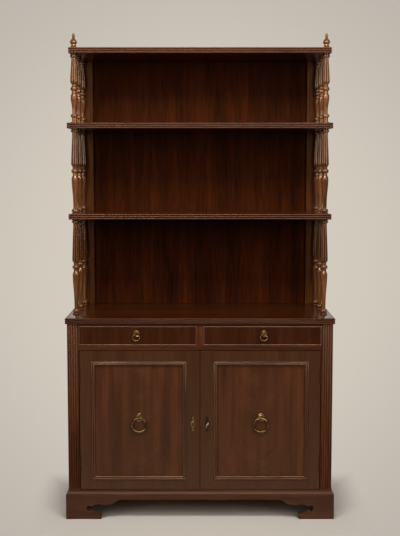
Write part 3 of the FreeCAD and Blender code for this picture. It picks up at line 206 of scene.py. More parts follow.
aside = add(tree, "ShaderNodeVectorMath", {"operation": "DISTANCE"}, _0=look.outputs["Generated"],
            _1=PICTURE_MIDDLE)
# Painted shade: the background darkens away from PICTURE_MIDDLE.
painted_edge_shade = add(tree, "ShaderNodeMapRange", SOFTLY, Value=aside.outputs["Value"], **PAINTED_EDGE_SHADE)
sweep_tone = add(tree, "ShaderNodeMix", COLOURS, _0=painted_edge_shade.outputs["Result"], _6=colour(SWEEP[0]),
                 _7=colour(SWEEP[1]))
room_tone = add(tree, "ShaderNodeMix", COLOURS, _0=pale.outputs[0], _6=colour(DIM_SIDE),
                _7=sweep_tone.outputs[2])
mirrored = add(tree, "ShaderNodeMath", LARGER, _0=path.outputs["Is Camera Ray"],
               _1=path.outputs["Is Glossy Ray"])
seen = add(tree, "ShaderNodeMath", LARGER, _0=mirrored.outputs[0], _1=path.outputs["Is Transmission Ray"])
fill = add(tree, "ShaderNodeBackground", Color=colour(FILL_COLOUR), Strength=FILL_STRENGTH)
picture = add(tree, "ShaderNodeBackground", Color=room_tone.outputs[2], Strength=1.0)
whole = add(tree, "ShaderNodeMixShader", _0=seen.outputs[0], _1=fill.outputs[0], _2=picture.outputs[0])
add(tree, "ShaderNodeOutputWorld", Surface=whole.outputs[0])
print("room:", room.name)

# %% [markdown]
# ## Lamps
# Two tall softboxes stand in front to the left and right, a long one hangs over the front, and a weak one
# behind parts the case from the background. They are area lamps, because a lamp's size sets how soft its
# shadow is. Each row gives a lamp's place, what it points at, its width and height in metres, and its power
# in watts.

# %% Lamps
LAMP_COLOUR = "#fff5e9"
LAMPS = [
    ("left_softbox", (-1.9, -3.0, 2.1), (0.0, 0.0, 1.0), 0.8, 1.8, 50.0),
    ("right_softbox", (1.9, -3.0, 2.1), (0.0, 0.0, 1.0), 0.8, 1.8, 50.0),
    ("top_softbox", (0.0, -1.5, 2.6), (0.0, 0.0, 1.1), 1.8, 0.6, 58.0),
    ("back_softbox", (0.0, 3.0, 2.6), (0.0, 0.0, 1.0), 2.0, 2.0, 15.0),
]
for name, place, target, width, height, power in LAMPS:
    lamp_data = bpy.data.lights.new(name, "AREA")
    lamp_data.shape = "RECTANGLE"
    lamp_data.size = width
    lamp_data.size_y = height
    lamp_data.energy = power
    lamp_data.color = colour(LAMP_COLOUR)[:3]
    lamp = bpy.data.objects.new(name, lamp_data)
    lamp.location = place
    lamp.rotation_euler = (Vector(target) - Vector(place)).to_track_quat("-Z", "Y").to_euler()
    scene.collection.objects.link(lamp)
print("lamps:", [row[0] for row in LAMPS])

# %% [markdown]
# ## French-polished mahogany
# Mahogany is an open-pored, red-brown timber. Many thin coats of shellac fill it and give a deep, slightly
# uneven gloss. Three things make it read as wood: broad bands a few centimetres wide, streaks of a few
# millimetres, and short dark pores. All three are the same noise, drawn out along the grain. The pores are
# really about 0.2 mm wide, and are drawn at 1.8 mm because anything finer would not show. Old wax and dust
# stay in the hollows, and an occlusion node darkens every hollow, gap and groove, so that darkening is
# partly that wax and dust and partly painted shade. Every board starts at another place in the noise. Each
# row below gives a timber's dark, mid and light tone, its roughness, how strongly its polish mirrors, and
# how much its hollows are darkened with wax, dust and painted shade.

# %% Timbers
WOODS = {
    "carcass_mahogany": ("#2a1107", "#42200e", "#553017", 0.24, 0.42, 0.3),
    "top_mahogany": ("#230d05", "#361808", "#46240f", 0.20, 0.60, 0.2),
    "shelf_mahogany": ("#260f06", "#3a190b", "#4b2714", 0.22, 0.45, 0.2),
    # The reeded edges are darkened in their hollows almost fully: dirt, and painted shade that draws dark
    # lines between the reeds.
    "edge_mahogany": ("#281107", "#3c1c0d", "#4d2915", 0.20, 0.30, 0.95),
    "column_mahogany": ("#381e0e", "#583319", "#764c2b", 0.18, 0.80, 0.5),
    "stile_mahogany": ("#301606", "#4c2a10", "#60391a", 0.36, 0.14, 0.3),
    # The back panel has darker tones than the case: painted shade for the bays behind the shelves.
    "back_mahogany": ("#1d0902", "#321304", "#441d06", 0.55, 0.04, 0.3),
    # The plinth's hollows are darkened fully: dirt, and a painted shadow line under the doors.
    "plinth_mahogany": ("#2c170d", "#402418", "#503122", 0.40, 0.32, 1.0),
    "drawer_mahogany": ("#260f05", "#321506", "#401d09", 0.24, 0.30, 0.1),
    "moulding_mahogany": ("#331a0e", "#442818", "#523423", 0.22, 0.65, 0.0),
    # The cock beads get lighter tones than the drawer fronts: a painted highlight along the beads.
    "bead_mahogany_painted_highlight": ("#4c2f21", "#614232", "#735343", 0.18, 1.0, 0.0),
    "door_mahogany": ("#341a0b", "#3b1f0d", "#432612", 0.24, 0.62, 0.1),
    "oak": ("#6b4a2b", "#8d6a43", "#a8855a", 0.55, 0.30, 0.4),
    "pine": ("#8a6237", "#ab8150", "#c29a68", 0.60, 0.30, 0.4),
}
UNPOLISHED = ("oak", "pine")
SHELLAC = {"IOR": 1.5, "Specular_Tint": colour("#ffe4cc")}
print("timbers:", ", ".join(WOODS))

# %% Sizes of the grain
GRAIN_STRETCH = 0.06
BAND = 45 * MM
BAND_RANGE = {"From_Min": 0.3, "From_Max": 0.7}
STREAK = 5 * MM
STREAK_SHARE = 0.42
FIGURE_RANGE = (0.33, 0.68)
PORE = 1.8 * MM
OPEN_PORES = {"From_Min": 0.56, "From_Max": 0.70, "To_Max": 0.45}
# How far the occlusion node reaches: this sets the width of the painted shade in hollows and gaps.
HOLLOW = 9 * MM
HOLLOW_RANGE = {"From_Min": 0.25, "From_Max": 0.75}
# The tone of old wax and dust in the hollows, which is also the tone of the painted shade there.
OLD_WAX_AND_SHADE = "#150804"
GRAIN_RELIEF = 0.06 * MM
print("bands, streaks and pores of", [round(size / MM, 1) for size in (BAND, STREAK, PORE)], "mm")

# %% Wood finishes
ACROSS = 0
UPRIGHT = 2
BOARD_SHIFT = (3.1, 5.7, 2.3)
finishes = {}


def wood(slot, along):
    """The finish of one timber with its grain along an axis, counted from 0."""
    name = slot + "_grain_" + "xyz"[along]
    if name in finishes:
        return finishes[name]
    dark, mid, light, roughness, polish, dirt_and_shade = WOODS[slot]
    material, tree = new_tree(name)
    place = add(tree, "ShaderNodeTexCoord")
    board = add(tree, "ShaderNodeObjectInfo")
    shift = add(tree, "ShaderNodeVectorMath", {"operation": "SCALE"}, _0=BOARD_SHIFT,
                Scale=board.outputs["Random"])
    moved = add(tree, "ShaderNodeVectorMath", {"operation": "ADD"}, _0=place.outputs["Object"],
                _1=shift.outputs["Vector"])
    stretch = [GRAIN_STRETCH if axis == along else 1.0 for axis in range(3)]
    drawn = add(tree, "ShaderNodeMapping", Vector=moved.outputs["Vector"], Scale=stretch)
    grain = drawn.outputs["Vector"]
    bands = add(tree, "ShaderNodeTexNoise", Vector=grain, Scale=1 / BAND, Detail=4.0, Distortion=0.7)
    streaks = add(tree, "ShaderNodeTexNoise", Vector=grain, Scale=1 / STREAK, Detail=3.0)
    pores = add(tree, "ShaderNodeTexNoise", Vector=grain, Scale=1 / PORE, Detail=1.0)
    figure = add(tree, "ShaderNodeMix", _0=STREAK_SHARE, _2=bands.outputs["Fac"], _3=streaks.outputs["Fac"])
    ramp = add(tree, "ShaderNodeValToRGB", Fac=figure.outputs[0])
    stops = ramp.color_ramp.elements
    for stop, position, tone in zip(stops, FIGURE_RANGE, (dark, light)):
        stop.position = position
        stop.color = colour(tone)
    stops.new(0.5).color = colour(mid)
    open_pores = add(tree, "ShaderNodeMapRange", Value=pores.outputs["Fac"], **OPEN_PORES)
    pored = add(tree, "ShaderNodeMix", COLOURS, _0=open_pores.outputs["Result"], _6=ramp.outputs["Color"],
                _7=colour(dark))
    # Wax, dust and painted shade: the occlusion node darkens hollows, gaps and grooves.
    hollow = add(tree, "ShaderNodeAmbientOcclusion", {"samples": 6}, Distance=HOLLOW)
    dust_and_shade = add(tree, "ShaderNodeMapRange", Value=hollow.outputs["AO"], To_Min=dirt_and_shade, To_Max=0.0,
               **HOLLOW_RANGE)
    groove = add(tree, "ShaderNodeAttribute", {"attribute_name": "groove"})
    wax_and_shade = add(tree, "ShaderNodeMath", LARGER, _0=dust_and_shade.outputs["Result"], _1=groove.outputs["Fac"])
    wax_and_shade_tone = colour(dark if slot in UNPOLISHED else OLD_WAX_AND_SHADE)
    darkened_in_hollows = add(tree, "ShaderNodeMix", COLOURS, _0=wax_and_shade.outputs[0], _6=pored.outputs[2], _7=wax_and_shade_tone)
    sheen = add(tree, "ShaderNodeMapRange", Value=bands.outputs["Fac"], To_Min=roughness - 0.02,
                To_Max=roughness + 0.03, **BAND_RANGE)
    relief = add(tree, "ShaderNodeMix", _0=0.5, _2=streaks.outputs["Fac"], _3=pores.outputs["Fac"])
    bump = add(tree, "ShaderNodeBump", Height=relief.outputs[0], Strength=0.2, Distance=GRAIN_RELIEF)
    shader = add(tree, "ShaderNodeBsdfPrincipled", Base_Color=darkened_in_hollows.outputs[2],
                 Roughness=sheen.outputs["Result"], Normal=bump.outputs["Normal"],
                 Specular_IOR_Level=polish, **SHELLAC)
    add(tree, "ShaderNodeOutputMaterial", Surface=shader.outputs[0])
    finishes[name] = material
    return material


print("finishes ready for", len(WOODS), "timbers")

# %% [markdown]
# ## Flame figure for the door panels
# The door panels are cut below a fork of the tree. Their figure rises in the middle and spreads upwards to
# both sides, and towards the edges it runs out into plain upright streaks. Measuring each point's height
# from a curve that climbs away from the middle line bends the noise into that plume. Taking the distance
# from the case's own middle first gives both doors a plume of their own from one material. The waves of
# the figure are about 170 mm wide and 70 mm high.

# %% Sizes of the flame figure
FLAME_TONES = ("#341909", "#40220f", "#4e2d18")
FLAME_EDGE = "#ffe9d8"
FLAME_PORE = "#2a1107"
FLAME_RANGE = (0.34, 0.66)
FLAME_PORES = {"From_Min": 0.57, "From_Max": 0.70, "To_Max": 0.35}
FLAME_GLOSS = {"To_Min": 0.25, "To_Max": 0.29}
FLAME_POLISH = 0.6
FLAME_RELIEF = 0.05 * MM
FLAME_STREAK = 24 * MM
PLUME_RISE = 9.0
PLUME_STRETCH = (6.0, 9.0, 15.0)
PLUME_EDGE = {"From_Min": 20 * MM, "From_Max": 120 * MM, "To_Min": 0.60, "To_Max": 1.0}
low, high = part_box("right_door_panel")
PANEL_MIDDLE = (low.x + high.x) / 2
print("each plume stands", round(PANEL_MIDDLE / MM, 1), "mm from the middle of the case")

# %% Flame mahogany
def flame_mahogany():
    """The finish of the door panels."""
    material, tree = new_tree("flame_mahogany_panel")
    place = add(tree, "ShaderNodeTexCoord")
    axes = add(tree, "ShaderNodeSeparateXYZ", Vector=place.outputs["Object"])
    side = add(tree, "ShaderNodeMath", {"operation": "ABSOLUTE"}, _0=axes.outputs["X"])
    across = add(tree, "ShaderNodeMath", {"operation": "SUBTRACT"}, _0=side.outputs[0], _1=PANEL_MIDDLE)
    square = add(tree, "ShaderNodeMath", {"operation": "MULTIPLY"}, _0=across.outputs[0],
                 _1=across.outputs[0])
    climb = add(tree, "ShaderNodeMath", {"operation": "MULTIPLY_ADD"}, _0=square.outputs[0], _1=-PLUME_RISE,
                _2=axes.outputs["Z"])
    board = add(tree, "ShaderNodeObjectInfo")
    bent = add(tree, "ShaderNodeCombineXYZ", X=across.outputs[0], Y=board.outputs["Random"],
               Z=climb.outputs[0])
    drawn = add(tree, "ShaderNodeMapping", Vector=bent.outputs[0], Scale=PLUME_STRETCH)
    plume = add(tree, "ShaderNodeTexNoise", Vector=drawn.outputs["Vector"], Scale=1.0, Detail=3.0,
                Roughness=0.5, Distortion=0.3)
    upright = add(tree, "ShaderNodeMapping", Vector=place.outputs["Object"], Scale=(1.0, 1.0, GRAIN_STRETCH))
    streaks = add(tree, "ShaderNodeTexNoise", Vector=upright.outputs["Vector"], Scale=1 / FLAME_STREAK,
                  Detail=5.0)
    pores = add(tree, "ShaderNodeTexNoise", Vector=upright.outputs["Vector"], Scale=1 / PORE, Detail=1.0)
    away = add(tree, "ShaderNodeMath", {"operation": "ABSOLUTE"}, _0=across.outputs[0])
    edge = add(tree, "ShaderNodeMapRange", SOFTLY, Value=away.outputs[0], **PLUME_EDGE)
    figure = add(tree, "ShaderNodeMix", _0=edge.outputs["Result"], _2=plume.outputs["Fac"],
                 _3=streaks.outputs["Fac"])
    ramp = add(tree, "ShaderNodeValToRGB", Fac=figure.outputs[0])
    dark, mid, light = FLAME_TONES
    stops = ramp.color_ramp.elements
    for stop, position, tone in zip(stops, FLAME_RANGE, (dark, light)):
        stop.position = position
        stop.color = colour(tone)
    stops.new(0.5).color = colour(mid)
    red = add(tree, "ShaderNodeMix", {"blend_type": "MULTIPLY", **COLOURS}, _0=edge.outputs["Result"],
              _6=ramp.outputs["Color"], _7=colour(FLAME_EDGE))
    open_pores = add(tree, "ShaderNodeMapRange", Value=pores.outputs["Fac"], **FLAME_PORES)
    pored = add(tree, "ShaderNodeMix", COLOURS, _0=open_pores.outputs["Result"], _6=red.outputs[2],
                _7=colour(FLAME_PORE))
    sheen = add(tree, "ShaderNodeMapRange", Value=plume.outputs["Fac"], **BAND_RANGE, **FLAME_GLOSS)
    bump = add(tree, "ShaderNodeBump", Height=pores.outputs["Fac"], Strength=0.15, Distance=FLAME_RELIEF)
    shader = add(tree, "ShaderNodeBsdfPrincipled", Base_Color=pored.outputs[2],
                 Roughness=sheen.outputs["Result"], Normal=bump.outputs["Normal"],
                 Specular_IOR_Level=FLAME_POLISH, **SHELLAC)
    add(tree, "ShaderNodeOutputMaterial", Surface=shader.outputs[0])
    return material


flame = flame_mahogany()
print("made", flame.name)

# %% [markdown]
# ## Old brass and dull steel
# The pulls and escutcheons are cast brass, once lacquered and now brown in the hollows and bright where
# fingers rub. The key and the lock are iron or mild steel: grey, with a trace of brown. Both are metals, so
# the colour is in the reflection, and patches of tarnish change the colour and the roughness together.

# %% Metal finishes
METAL_HOLLOW = 4 * MM
RUBBED_RANGE = {"From_Min": 0.3, "From_Max": 0.9}
BRASS_PATCH = 9 * MM
STEEL_PATCH = 5 * MM
PATCH_RANGE = {"From_Min": 0.38, "From_Max": 0.62}
GRITS_IN_PATCH = 6
CAST_RELIEF = 0.1 * MM


def metal(name, bright, dull, low, high, patch):
    """A metal with tarnish in patches of a size in metres. Where it is bright, it is also smoother."""
    material, tree = new_tree(name)
    place = add(tree, "ShaderNodeTexCoord")
    cloud = add(tree, "ShaderNodeTexNoise", Vector=place.outputs["Object"], Scale=1 / patch, Detail=5.0,
                Roughness=0.65)
    grit = add(tree, "ShaderNodeTexNoise", Vector=place.outputs["Object"], Scale=GRITS_IN_PATCH / patch,
               Detail=2.0)
    hollow = add(tree, "ShaderNodeAmbientOcclusion", {"samples": 6}, Distance=METAL_HOLLOW)
    rubbed = add(tree, "ShaderNodeMapRange", Value=hollow.outputs["AO"], **RUBBED_RANGE)
    worn = add(tree, "ShaderNodeMapRange", Value=cloud.outputs["Fac"], **PATCH_RANGE)
    clean = add(tree, "ShaderNodeMath", {"operation": "MULTIPLY"}, _0=rubbed.outputs["Result"],
                _1=worn.outputs["Result"])
    tone = add(tree, "ShaderNodeMix", COLOURS, _0=clean.outputs[0], _6=colour(dull), _7=colour(bright))
    rough = add(tree, "ShaderNodeMapRange", Value=clean.outputs[0], To_Min=high, To_Max=low)
    bump = add(tree, "ShaderNodeBump", Height=grit.outputs["Fac"], Strength=0.15, Distance=CAST_RELIEF)
    shader = add(tree, "ShaderNodeBsdfPrincipled", Base_Color=tone.outputs[2],
                 Roughness=rough.outputs["Result"], Normal=bump.outputs["Normal"], Metallic=1.0)
    add(tree, "ShaderNodeOutputMaterial", Surface=shader.outputs[0])
    return material


METALS = {
    "aged_brass": metal("aged_cast_brass", "#9c8156", "#3f2e19", 0.28, 0.46, BRASS_PATCH),
    "steel": metal("dull_wrought_steel", "#b4b0a8", "#5f564b", 0.30, 0.5, STEEL_PATCH),
}
bright_brass = metal("bright_brass", "#c2a06f", "#8a6a45", 0.24, 0.4, BRASS_PATCH)
dark_brass = metal("dark_cast_brass", "#4d4029", "#2a2014", 0.4, 0.6, BRASS_PATCH)
print("metals:", [brass.name for brass in (*METALS.values(), bright_brass, dark_brass)])

# %% [markdown]
# ## Finishing a piece
# Besides its material, a finished piece needs the body that it moves with, and the part of the construction
# model that it stands for has to be hidden. One function does all of this, so that nothing is forgotten.
# Faces that meet at a small angle are shaded as one round surface. Turned pieces can have a wide crease
# angle. On boards only creases under 20 degrees are shaded smooth, because with a wider angle the rounding
# of the edges would seem to spread over the whole board.

# %% Finish a piece
ROUND_CREASE = 38
BOARD_CREASE = 20
body_of = {node: body for body, nodes in frame["record"]["behaviour"]["bodies"].items() for node in nodes}
slot_of = {row["node"]: row["material_slot"] for row in frame["record"]["subparts"]}


def select_only(piece):
    """Make this the one selected and active object."""
    bpy.ops.object.select_all(action="DESELECT")
    piece.select_set(True)
    bpy.context.view_layer.objects.active = piece


def apply_modifier(piece, kind, **settings):
    """Add a modifier, set it and apply it."""
    select_only(piece)
    modifier = piece.modifiers.new(kind.lower(), kind)
    for name, value in settings.items():
        setattr(modifier, name, value)
    bpy.ops.object.modifier_apply(modifier=modifier.name)


def finish(piece, node, material, crease=ROUND_CREASE):
    """Give a piece its finish and let it stand for a part. Edges sharper than the crease stay crisp."""
    piece.data.materials.clear()
    piece.data.materials.append(material)
    select_only(piece)
    bpy.ops.object.shade_smooth_by_angle(angle=math.radians(crease))
    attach(piece, body_of[node])
    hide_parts(node)


def second_finish(piece, node, wanted, material):
    """Give the faces whose middle is wanted another finish than the rest."""
    low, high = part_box(node)
    piece.data.materials.append(material)
    for face in piece.data.polygons:
        face.material_index = int(wanted(low, high, face.center))


# %% [markdown]
# ## Timber for each board
# A cabinet maker picks timber by where it shows: flame figure for the panels, straight mahogany for the
# frames, oak and pine inside. The grain runs along the longest side of a board, but door frames and drawer
# fronts are veneered upright. Mouldings and cock beads change direction at each mitre, and the reeded edges
# of shelves have their hollows darkened more than their tops, partly dirt and partly painted shade that
# draws the dark lines between the reeds, so these get a second finish, face by face.

# %% Choose a finish
REED_RIM = 3.3 * MM


def longest_side(piece):
    """The axis along which a board is longest."""
    extents = [max(vertex.co[axis] for vertex in piece.data.vertices)
               - min(vertex.co[axis] for vertex in piece.data.vertices) for axis in range(3)]
    return extents.index(max(extents))


def lies_across(low, high, place):
    """Whether a place on a moulding or a cock bead belongs to one of its level strips."""
    aside = min(place.x - low.x, high.x - place.x)
    above = min(place.z - low.z, high.z - place.z)
    return above < aside


def on_rim(low, high, place):
    """Whether a place on a shelf or top is on its reeded front or ends."""
    return place.y < low.y + REED_RIM or abs(place.x) > high.x - REED_RIM


def board_finish(node, piece):
    """The finish that a board or a fitting gets."""
    slot = slot_of[node]
    if "hinge" in node or node == "right_door_escutcheon":
        return dark_brass
    if slot in METALS:
        return METALS[slot]
    if node.endswith("_door_panel"):
        return flame
    if node.startswith("back_stile"):
        return wood("stile_mahogany", UPRIGHT)
    # Cock beads: lighter tones as a painted highlight.
    if node.endswith("_drawer_bead"):
        return wood("bead_mahogany_painted_highlight", UPRIGHT)
    if node.endswith(("_door_frame", "_drawer_front")):
        return wood(slot, UPRIGHT)
    if node == "base_top":
        return wood("top_mahogany", ACROSS)
    return wood(slot, longest_side(piece))


print("slots:", sorted(set(slot_of.values())))

# %% [markdown]
# ## Boards with softened edges
# Nothing on an old piece of furniture has a razor edge: years of wiping round every corner by half a
# millimetre or more, and that line of light along an edge is what makes a board look solid. Each board is
# copied from the construction model, its loose triangles are merged and its flat faces cleaned, and boards
# that only share a file are separated. Then a Bevel modifier rounds the edges. Modelling the boards again
# from boxes would only repeat sizes that are already right. The door frames are shaded flat, because the
# rounded edges that meet at their joints would otherwise leave dark slivers.

# %% Soften every board
SAME_POINT = 0.005 * MM
FLAT = math.radians(1.0)
USUAL_EDGE = 0.7
EDGES = {"aged_brass": 0.25, "steel": 0.2, "oak": 0.5, "pine": 0.8, "door_mahogany": 0.35}
SHARP = math.radians(40)


def boards_of(node):
    """Merged copies of the separate boards of one part."""
    copy = bpy.data.objects.new(node + "_board", frame["nodes"][node].data.copy())
    scene.collection.objects.link(copy)
    select_only(copy)
    bpy.ops.object.mode_set(mode="EDIT")
    bpy.ops.mesh.select_all(action="SELECT")
    bpy.ops.mesh.remove_doubles(threshold=SAME_POINT)
    bpy.ops.mesh.dissolve_limited(angle_limit=FLAT)
    bpy.ops.mesh.separate(type="LOOSE")
    bpy.ops.object.mode_set(mode="OBJECT")
    return list(bpy.context.selected_objects)


reeded_nodes = ["top_shelf", "middle_shelf", "lower_shelf", "base_top"]
turned_nodes = ["lower_columns", "middle_columns", "upper_columns", "finials"]
cast_nodes = [node for node in frame["nodes"] if node.endswith(("_rosette", "_ring", "_moulding"))]
made = 0
for node in sorted(frame["nodes"]):
    if node in turned_nodes or node in cast_nodes:
        continue
    for piece in boards_of(node):
        apply_modifier(piece, "BEVEL", width=EDGES.get(slot_of[node], USUAL_EDGE) * MM, segments=2,
                       limit_method="ANGLE", angle_limit=SHARP)
        finish(piece, node, board_finish(node, piece), BOARD_CREASE)
        if node.endswith("_door_frame"):
            bpy.ops.object.shade_flat()
        if node.endswith("_drawer_bead"):
            second_finish(piece, node, lies_across, wood("bead_mahogany_painted_highlight", ACROSS))
        if node in reeded_nodes:
            second_finish(piece, node, on_rim, wood("edge_mahogany", ACROSS))
        made += 1
print("finished", made, "boards and fittings")

# %% [markdown]
# ## Door mouldings
# A double bead runs round each panel and hides where the panel enters the frame. Two round beads need a
# finer section than the construction model has, so the section is drawn again, at one mitre, and extruded
# round the door. Each extrusion is flipped about the middle of the door, first sideways and then upright,
# which lays the section exactly into the next mitre without measuring any length.

# %% Draw a line and close a mesh
WELD = 0.01 * MM


def draw_line(name, points):
    """Extrude one vertex from point to point. The new piece stays in edit mode with its line selected."""
    bpy.ops.object.select_all(action="DESELECT")
    bpy.ops.mesh.primitive_circle_add(vertices=3, radius=MM)
    piece = bpy.context.object
    piece.name = name
    bpy.ops.object.mode_set(mode="EDIT")
    bpy.ops.mesh.merge(type="CENTER")
    bpy.ops.transform.translate(value=points[0])
    for start, end in zip(points, points[1:]):
        bpy.ops.mesh.extrude_region_move(TRANSFORM_OT_translate={"value": end - start})
    bpy.ops.mesh.select_all(action="SELECT")
    return piece


def close_mesh():
    """Weld the mesh that is being edited, turn its faces outwards and leave edit mode."""
    bpy.ops.mesh.select_all(action="SELECT")
    bpy.ops.mesh.remove_doubles(threshold=WELD)
    bpy.ops.mesh.normals_make_consistent(inside=False)
    bpy.ops.object.mode_set(mode="OBJECT")


print("points nearer than", round(WELD / MM, 3), "mm are welded")

# %% Double-bead mouldings
DOOR_LIP = 6.0
DOUBLE_BEAD = [
    (0.0, 0.0), (0.0, 1.4), (0.9, 3.0), (2.2, 4.1), (3.6, 4.5), (5.0, 4.1), (6.2, 3.0), (6.9, 1.6),
    (7.6, 2.4), (8.8, 3.2), (10.2, 3.4), (11.8, 2.8), (13.4, 1.4), (14.4, 0.0), (15.0, -2.0),
    (15.0, -DOOR_LIP), (7.1, -DOOR_LIP), (7.1, 0.0), (0.0, 0.0)]
SIDEWAYS_FLIP = (-1.0, 1.0, 1.0)
UPRIGHT_FLIP = (1.0, 1.0, -1.0)


def moulding(node):
    """The mitred double bead of one door. The section is (inwards, out of the door) in millimetres."""
    low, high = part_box(node)
    middle = (low + high) / 2
    corner = Vector((low.x, high.y - DOOR_LIP * MM, high.z))
    piece = draw_line(node + "_beads", [corner + Vector((inwards, -out, -inwards)) * MM
                                        for inwards, out in DOUBLE_BEAD])
    bpy.ops.mesh.remove_doubles(threshold=WELD)
    for flip in (SIDEWAYS_FLIP, UPRIGHT_FLIP) * 2:
        bpy.ops.mesh.extrude_region_move()
        bpy.ops.transform.resize(value=flip, center_override=middle)
    close_mesh()
    finish(piece, node, wood("moulding_mahogany", UPRIGHT))
    second_finish(piece, node, lies_across, wood("moulding_mahogany", ACROSS))


for side in ("left", "right"):
    moulding(side + "_door_moulding")
print("two door mouldings of", len(DOUBLE_BEAD) - 1, "points a section")

# %% [markdown]
# ## Turned and reeded columns
# Each column is turned on a lathe: a foot, a bead, a long lower vase, a ring, and an upper vase that is then
# carved with eight reeds. In Blender the lathe is Spin: one vertex is extruded along the profile, and the
# line is swung right round. Each run of the profile is one smooth sweep of the gouge, and the runs meet in
# crisp corners, as they do under a real tool. A column could be stacked from cylinders and spheres, but no
# curve would then run on into the next one.

# %% The lathe
SWEEP_STEPS = 5


def sweep(runs):
    """Points along a profile of (radius, height) runs in millimetres."""
    points = []
    for run in runs:
        knots = [Vector((radius, 0.0, height)) * MM for radius, height in run]
        for index in range(len(knots) - 1):
            start = knots[index]
            end = knots[index + 1]
            before = knots[max(index - 1, 0)]
            after = knots[min(index + 2, len(knots) - 1)]
            points += interpolate_bezier(start, start + (end - before) / 6, end - (after - start) / 6, end,
                                         SWEEP_STEPS + 1)[:-1]
        points.append(knots[-1])
    return points


def turn(name, runs, steps):
    """Spin a profile round the Z axis and close it."""
    piece = draw_line(name, sweep(runs))
    bpy.ops.mesh.spin(steps=steps, angle=2 * math.pi, center=(0.0, 0.0, 0.0), axis=(0.0, 0.0, 1.0))
    close_mesh()
    return piece


def copy_to(piece, name, place):
    """A copy with a mesh of its own, set down at a place that is then worked into the mesh."""
    select_only(piece)
    bpy.ops.object.duplicate()
    copy = bpy.context.object
    copy.name = name
    copy.location = place
    bpy.ops.object.transform_apply(location=True, rotation=False, scale=False)
    return copy


print("two knots make a run of", len(sweep([[(0.0, 0.0), (1.0, 0.0)]])), "points")

# %% [markdown]
# ## Reeds
# Reeds are the opposite of flutes: half-round rods side by side, carved into the turned vase. A Boolean
# modifier could cut the grooves between them, but it would leave ragged faces on a curved surface. The
# column is turned in ninety-six steps instead, twelve to a reed, and narrowing the steps beside each groove
# carves the reeds half round. They are cut deeper again at their lower tips. Each point notes how dark it
# is painted in the grooves, partly for dark wax and partly as painted shade, and the wood finish finds it.

# %% Reeds
REEDS = 8
REED_STEPS = 12
HALF_REED = REED_STEPS // 2
STEPS = REEDS * REED_STEPS
# How dark the grooves are painted: partly dark wax, partly painted shade between the reeds.
GROOVE_WAX_AND_SHADE = 0.9
REED_DEPTH = 0.25
TIP_DEPTH = 0.14


def pick(piece, wanted):
    """Select the vertices whose place is wanted, ready for an edit-mode operator."""
    select_only(piece)
    bpy.ops.object.mode_set(mode="EDIT")
    bpy.ops.mesh.select_mode(type="VERT")
    bpy.ops.mesh.select_all(action="DESELECT")
    bpy.ops.object.mode_set(mode="OBJECT")
    for vertex in piece.data.vertices:
        vertex.select = wanted(vertex.co)
    bpy.ops.object.mode_set(mode="EDIT")


def from_groove(place):
    """How many steps round the column a place is from the nearest groove."""
    step = round(math.atan2(place.y, place.x) / (2 * math.pi) * STEPS) % REED_STEPS
    return min(step, REED_STEPS - step)


def carve_reeds(piece, low, high, depth):
    """Carve half-round reeds between two heights in millimetres. The depth is a share of the radius."""
    for offset in range(HALF_REED):
        def at_groove(place):
            return low * MM < place.z < high * MM and from_groove(place) == offset
        share = 1 - depth * (1 - math.sqrt(1 - (1 - offset / HALF_REED) ** 2))
        pick(piece, at_groove)
        bpy.ops.transform.resize(value=(share, share, 1.0), center_override=(0.0, 0.0, 0.0))
        bpy.ops.object.mode_set(mode="OBJECT")


def wax_and_shade_grooves(piece, low, high):
    """Note on each point how dark it is painted between the reeds: partly dark wax, partly painted shade."""
    note = piece.data.attributes.new("groove", "FLOAT", "POINT")
    for vertex in piece.data.vertices:
        if low * MM < vertex.co.z < high * MM:
            note.data[vertex.index].value = GROOVE_WAX_AND_SHADE * (1 - from_groove(vertex.co) / HALF_REED) ** 2


print(REEDS, "reeds of", REED_STEPS, "steps each")

# %% [markdown]
# ## The profile of a column
# All three tiers have the same turning, in different lengths: the foot, bead and ring keep their sizes, and
# the two vases stretch between them. So one profile is written with the radii in millimetres as names and
# the heights measured from the bead, the ring and the top.

# %% Profile
CAP = 14.4
THROAT = 9.0
VASE = 14.4
WAIST = 9.2
RING = 13.8
SHOULDER = 13.3
ANKLE = 7.6
FOOT = 14.4
BEAD = 14.2
NECK_DROP = 18.0


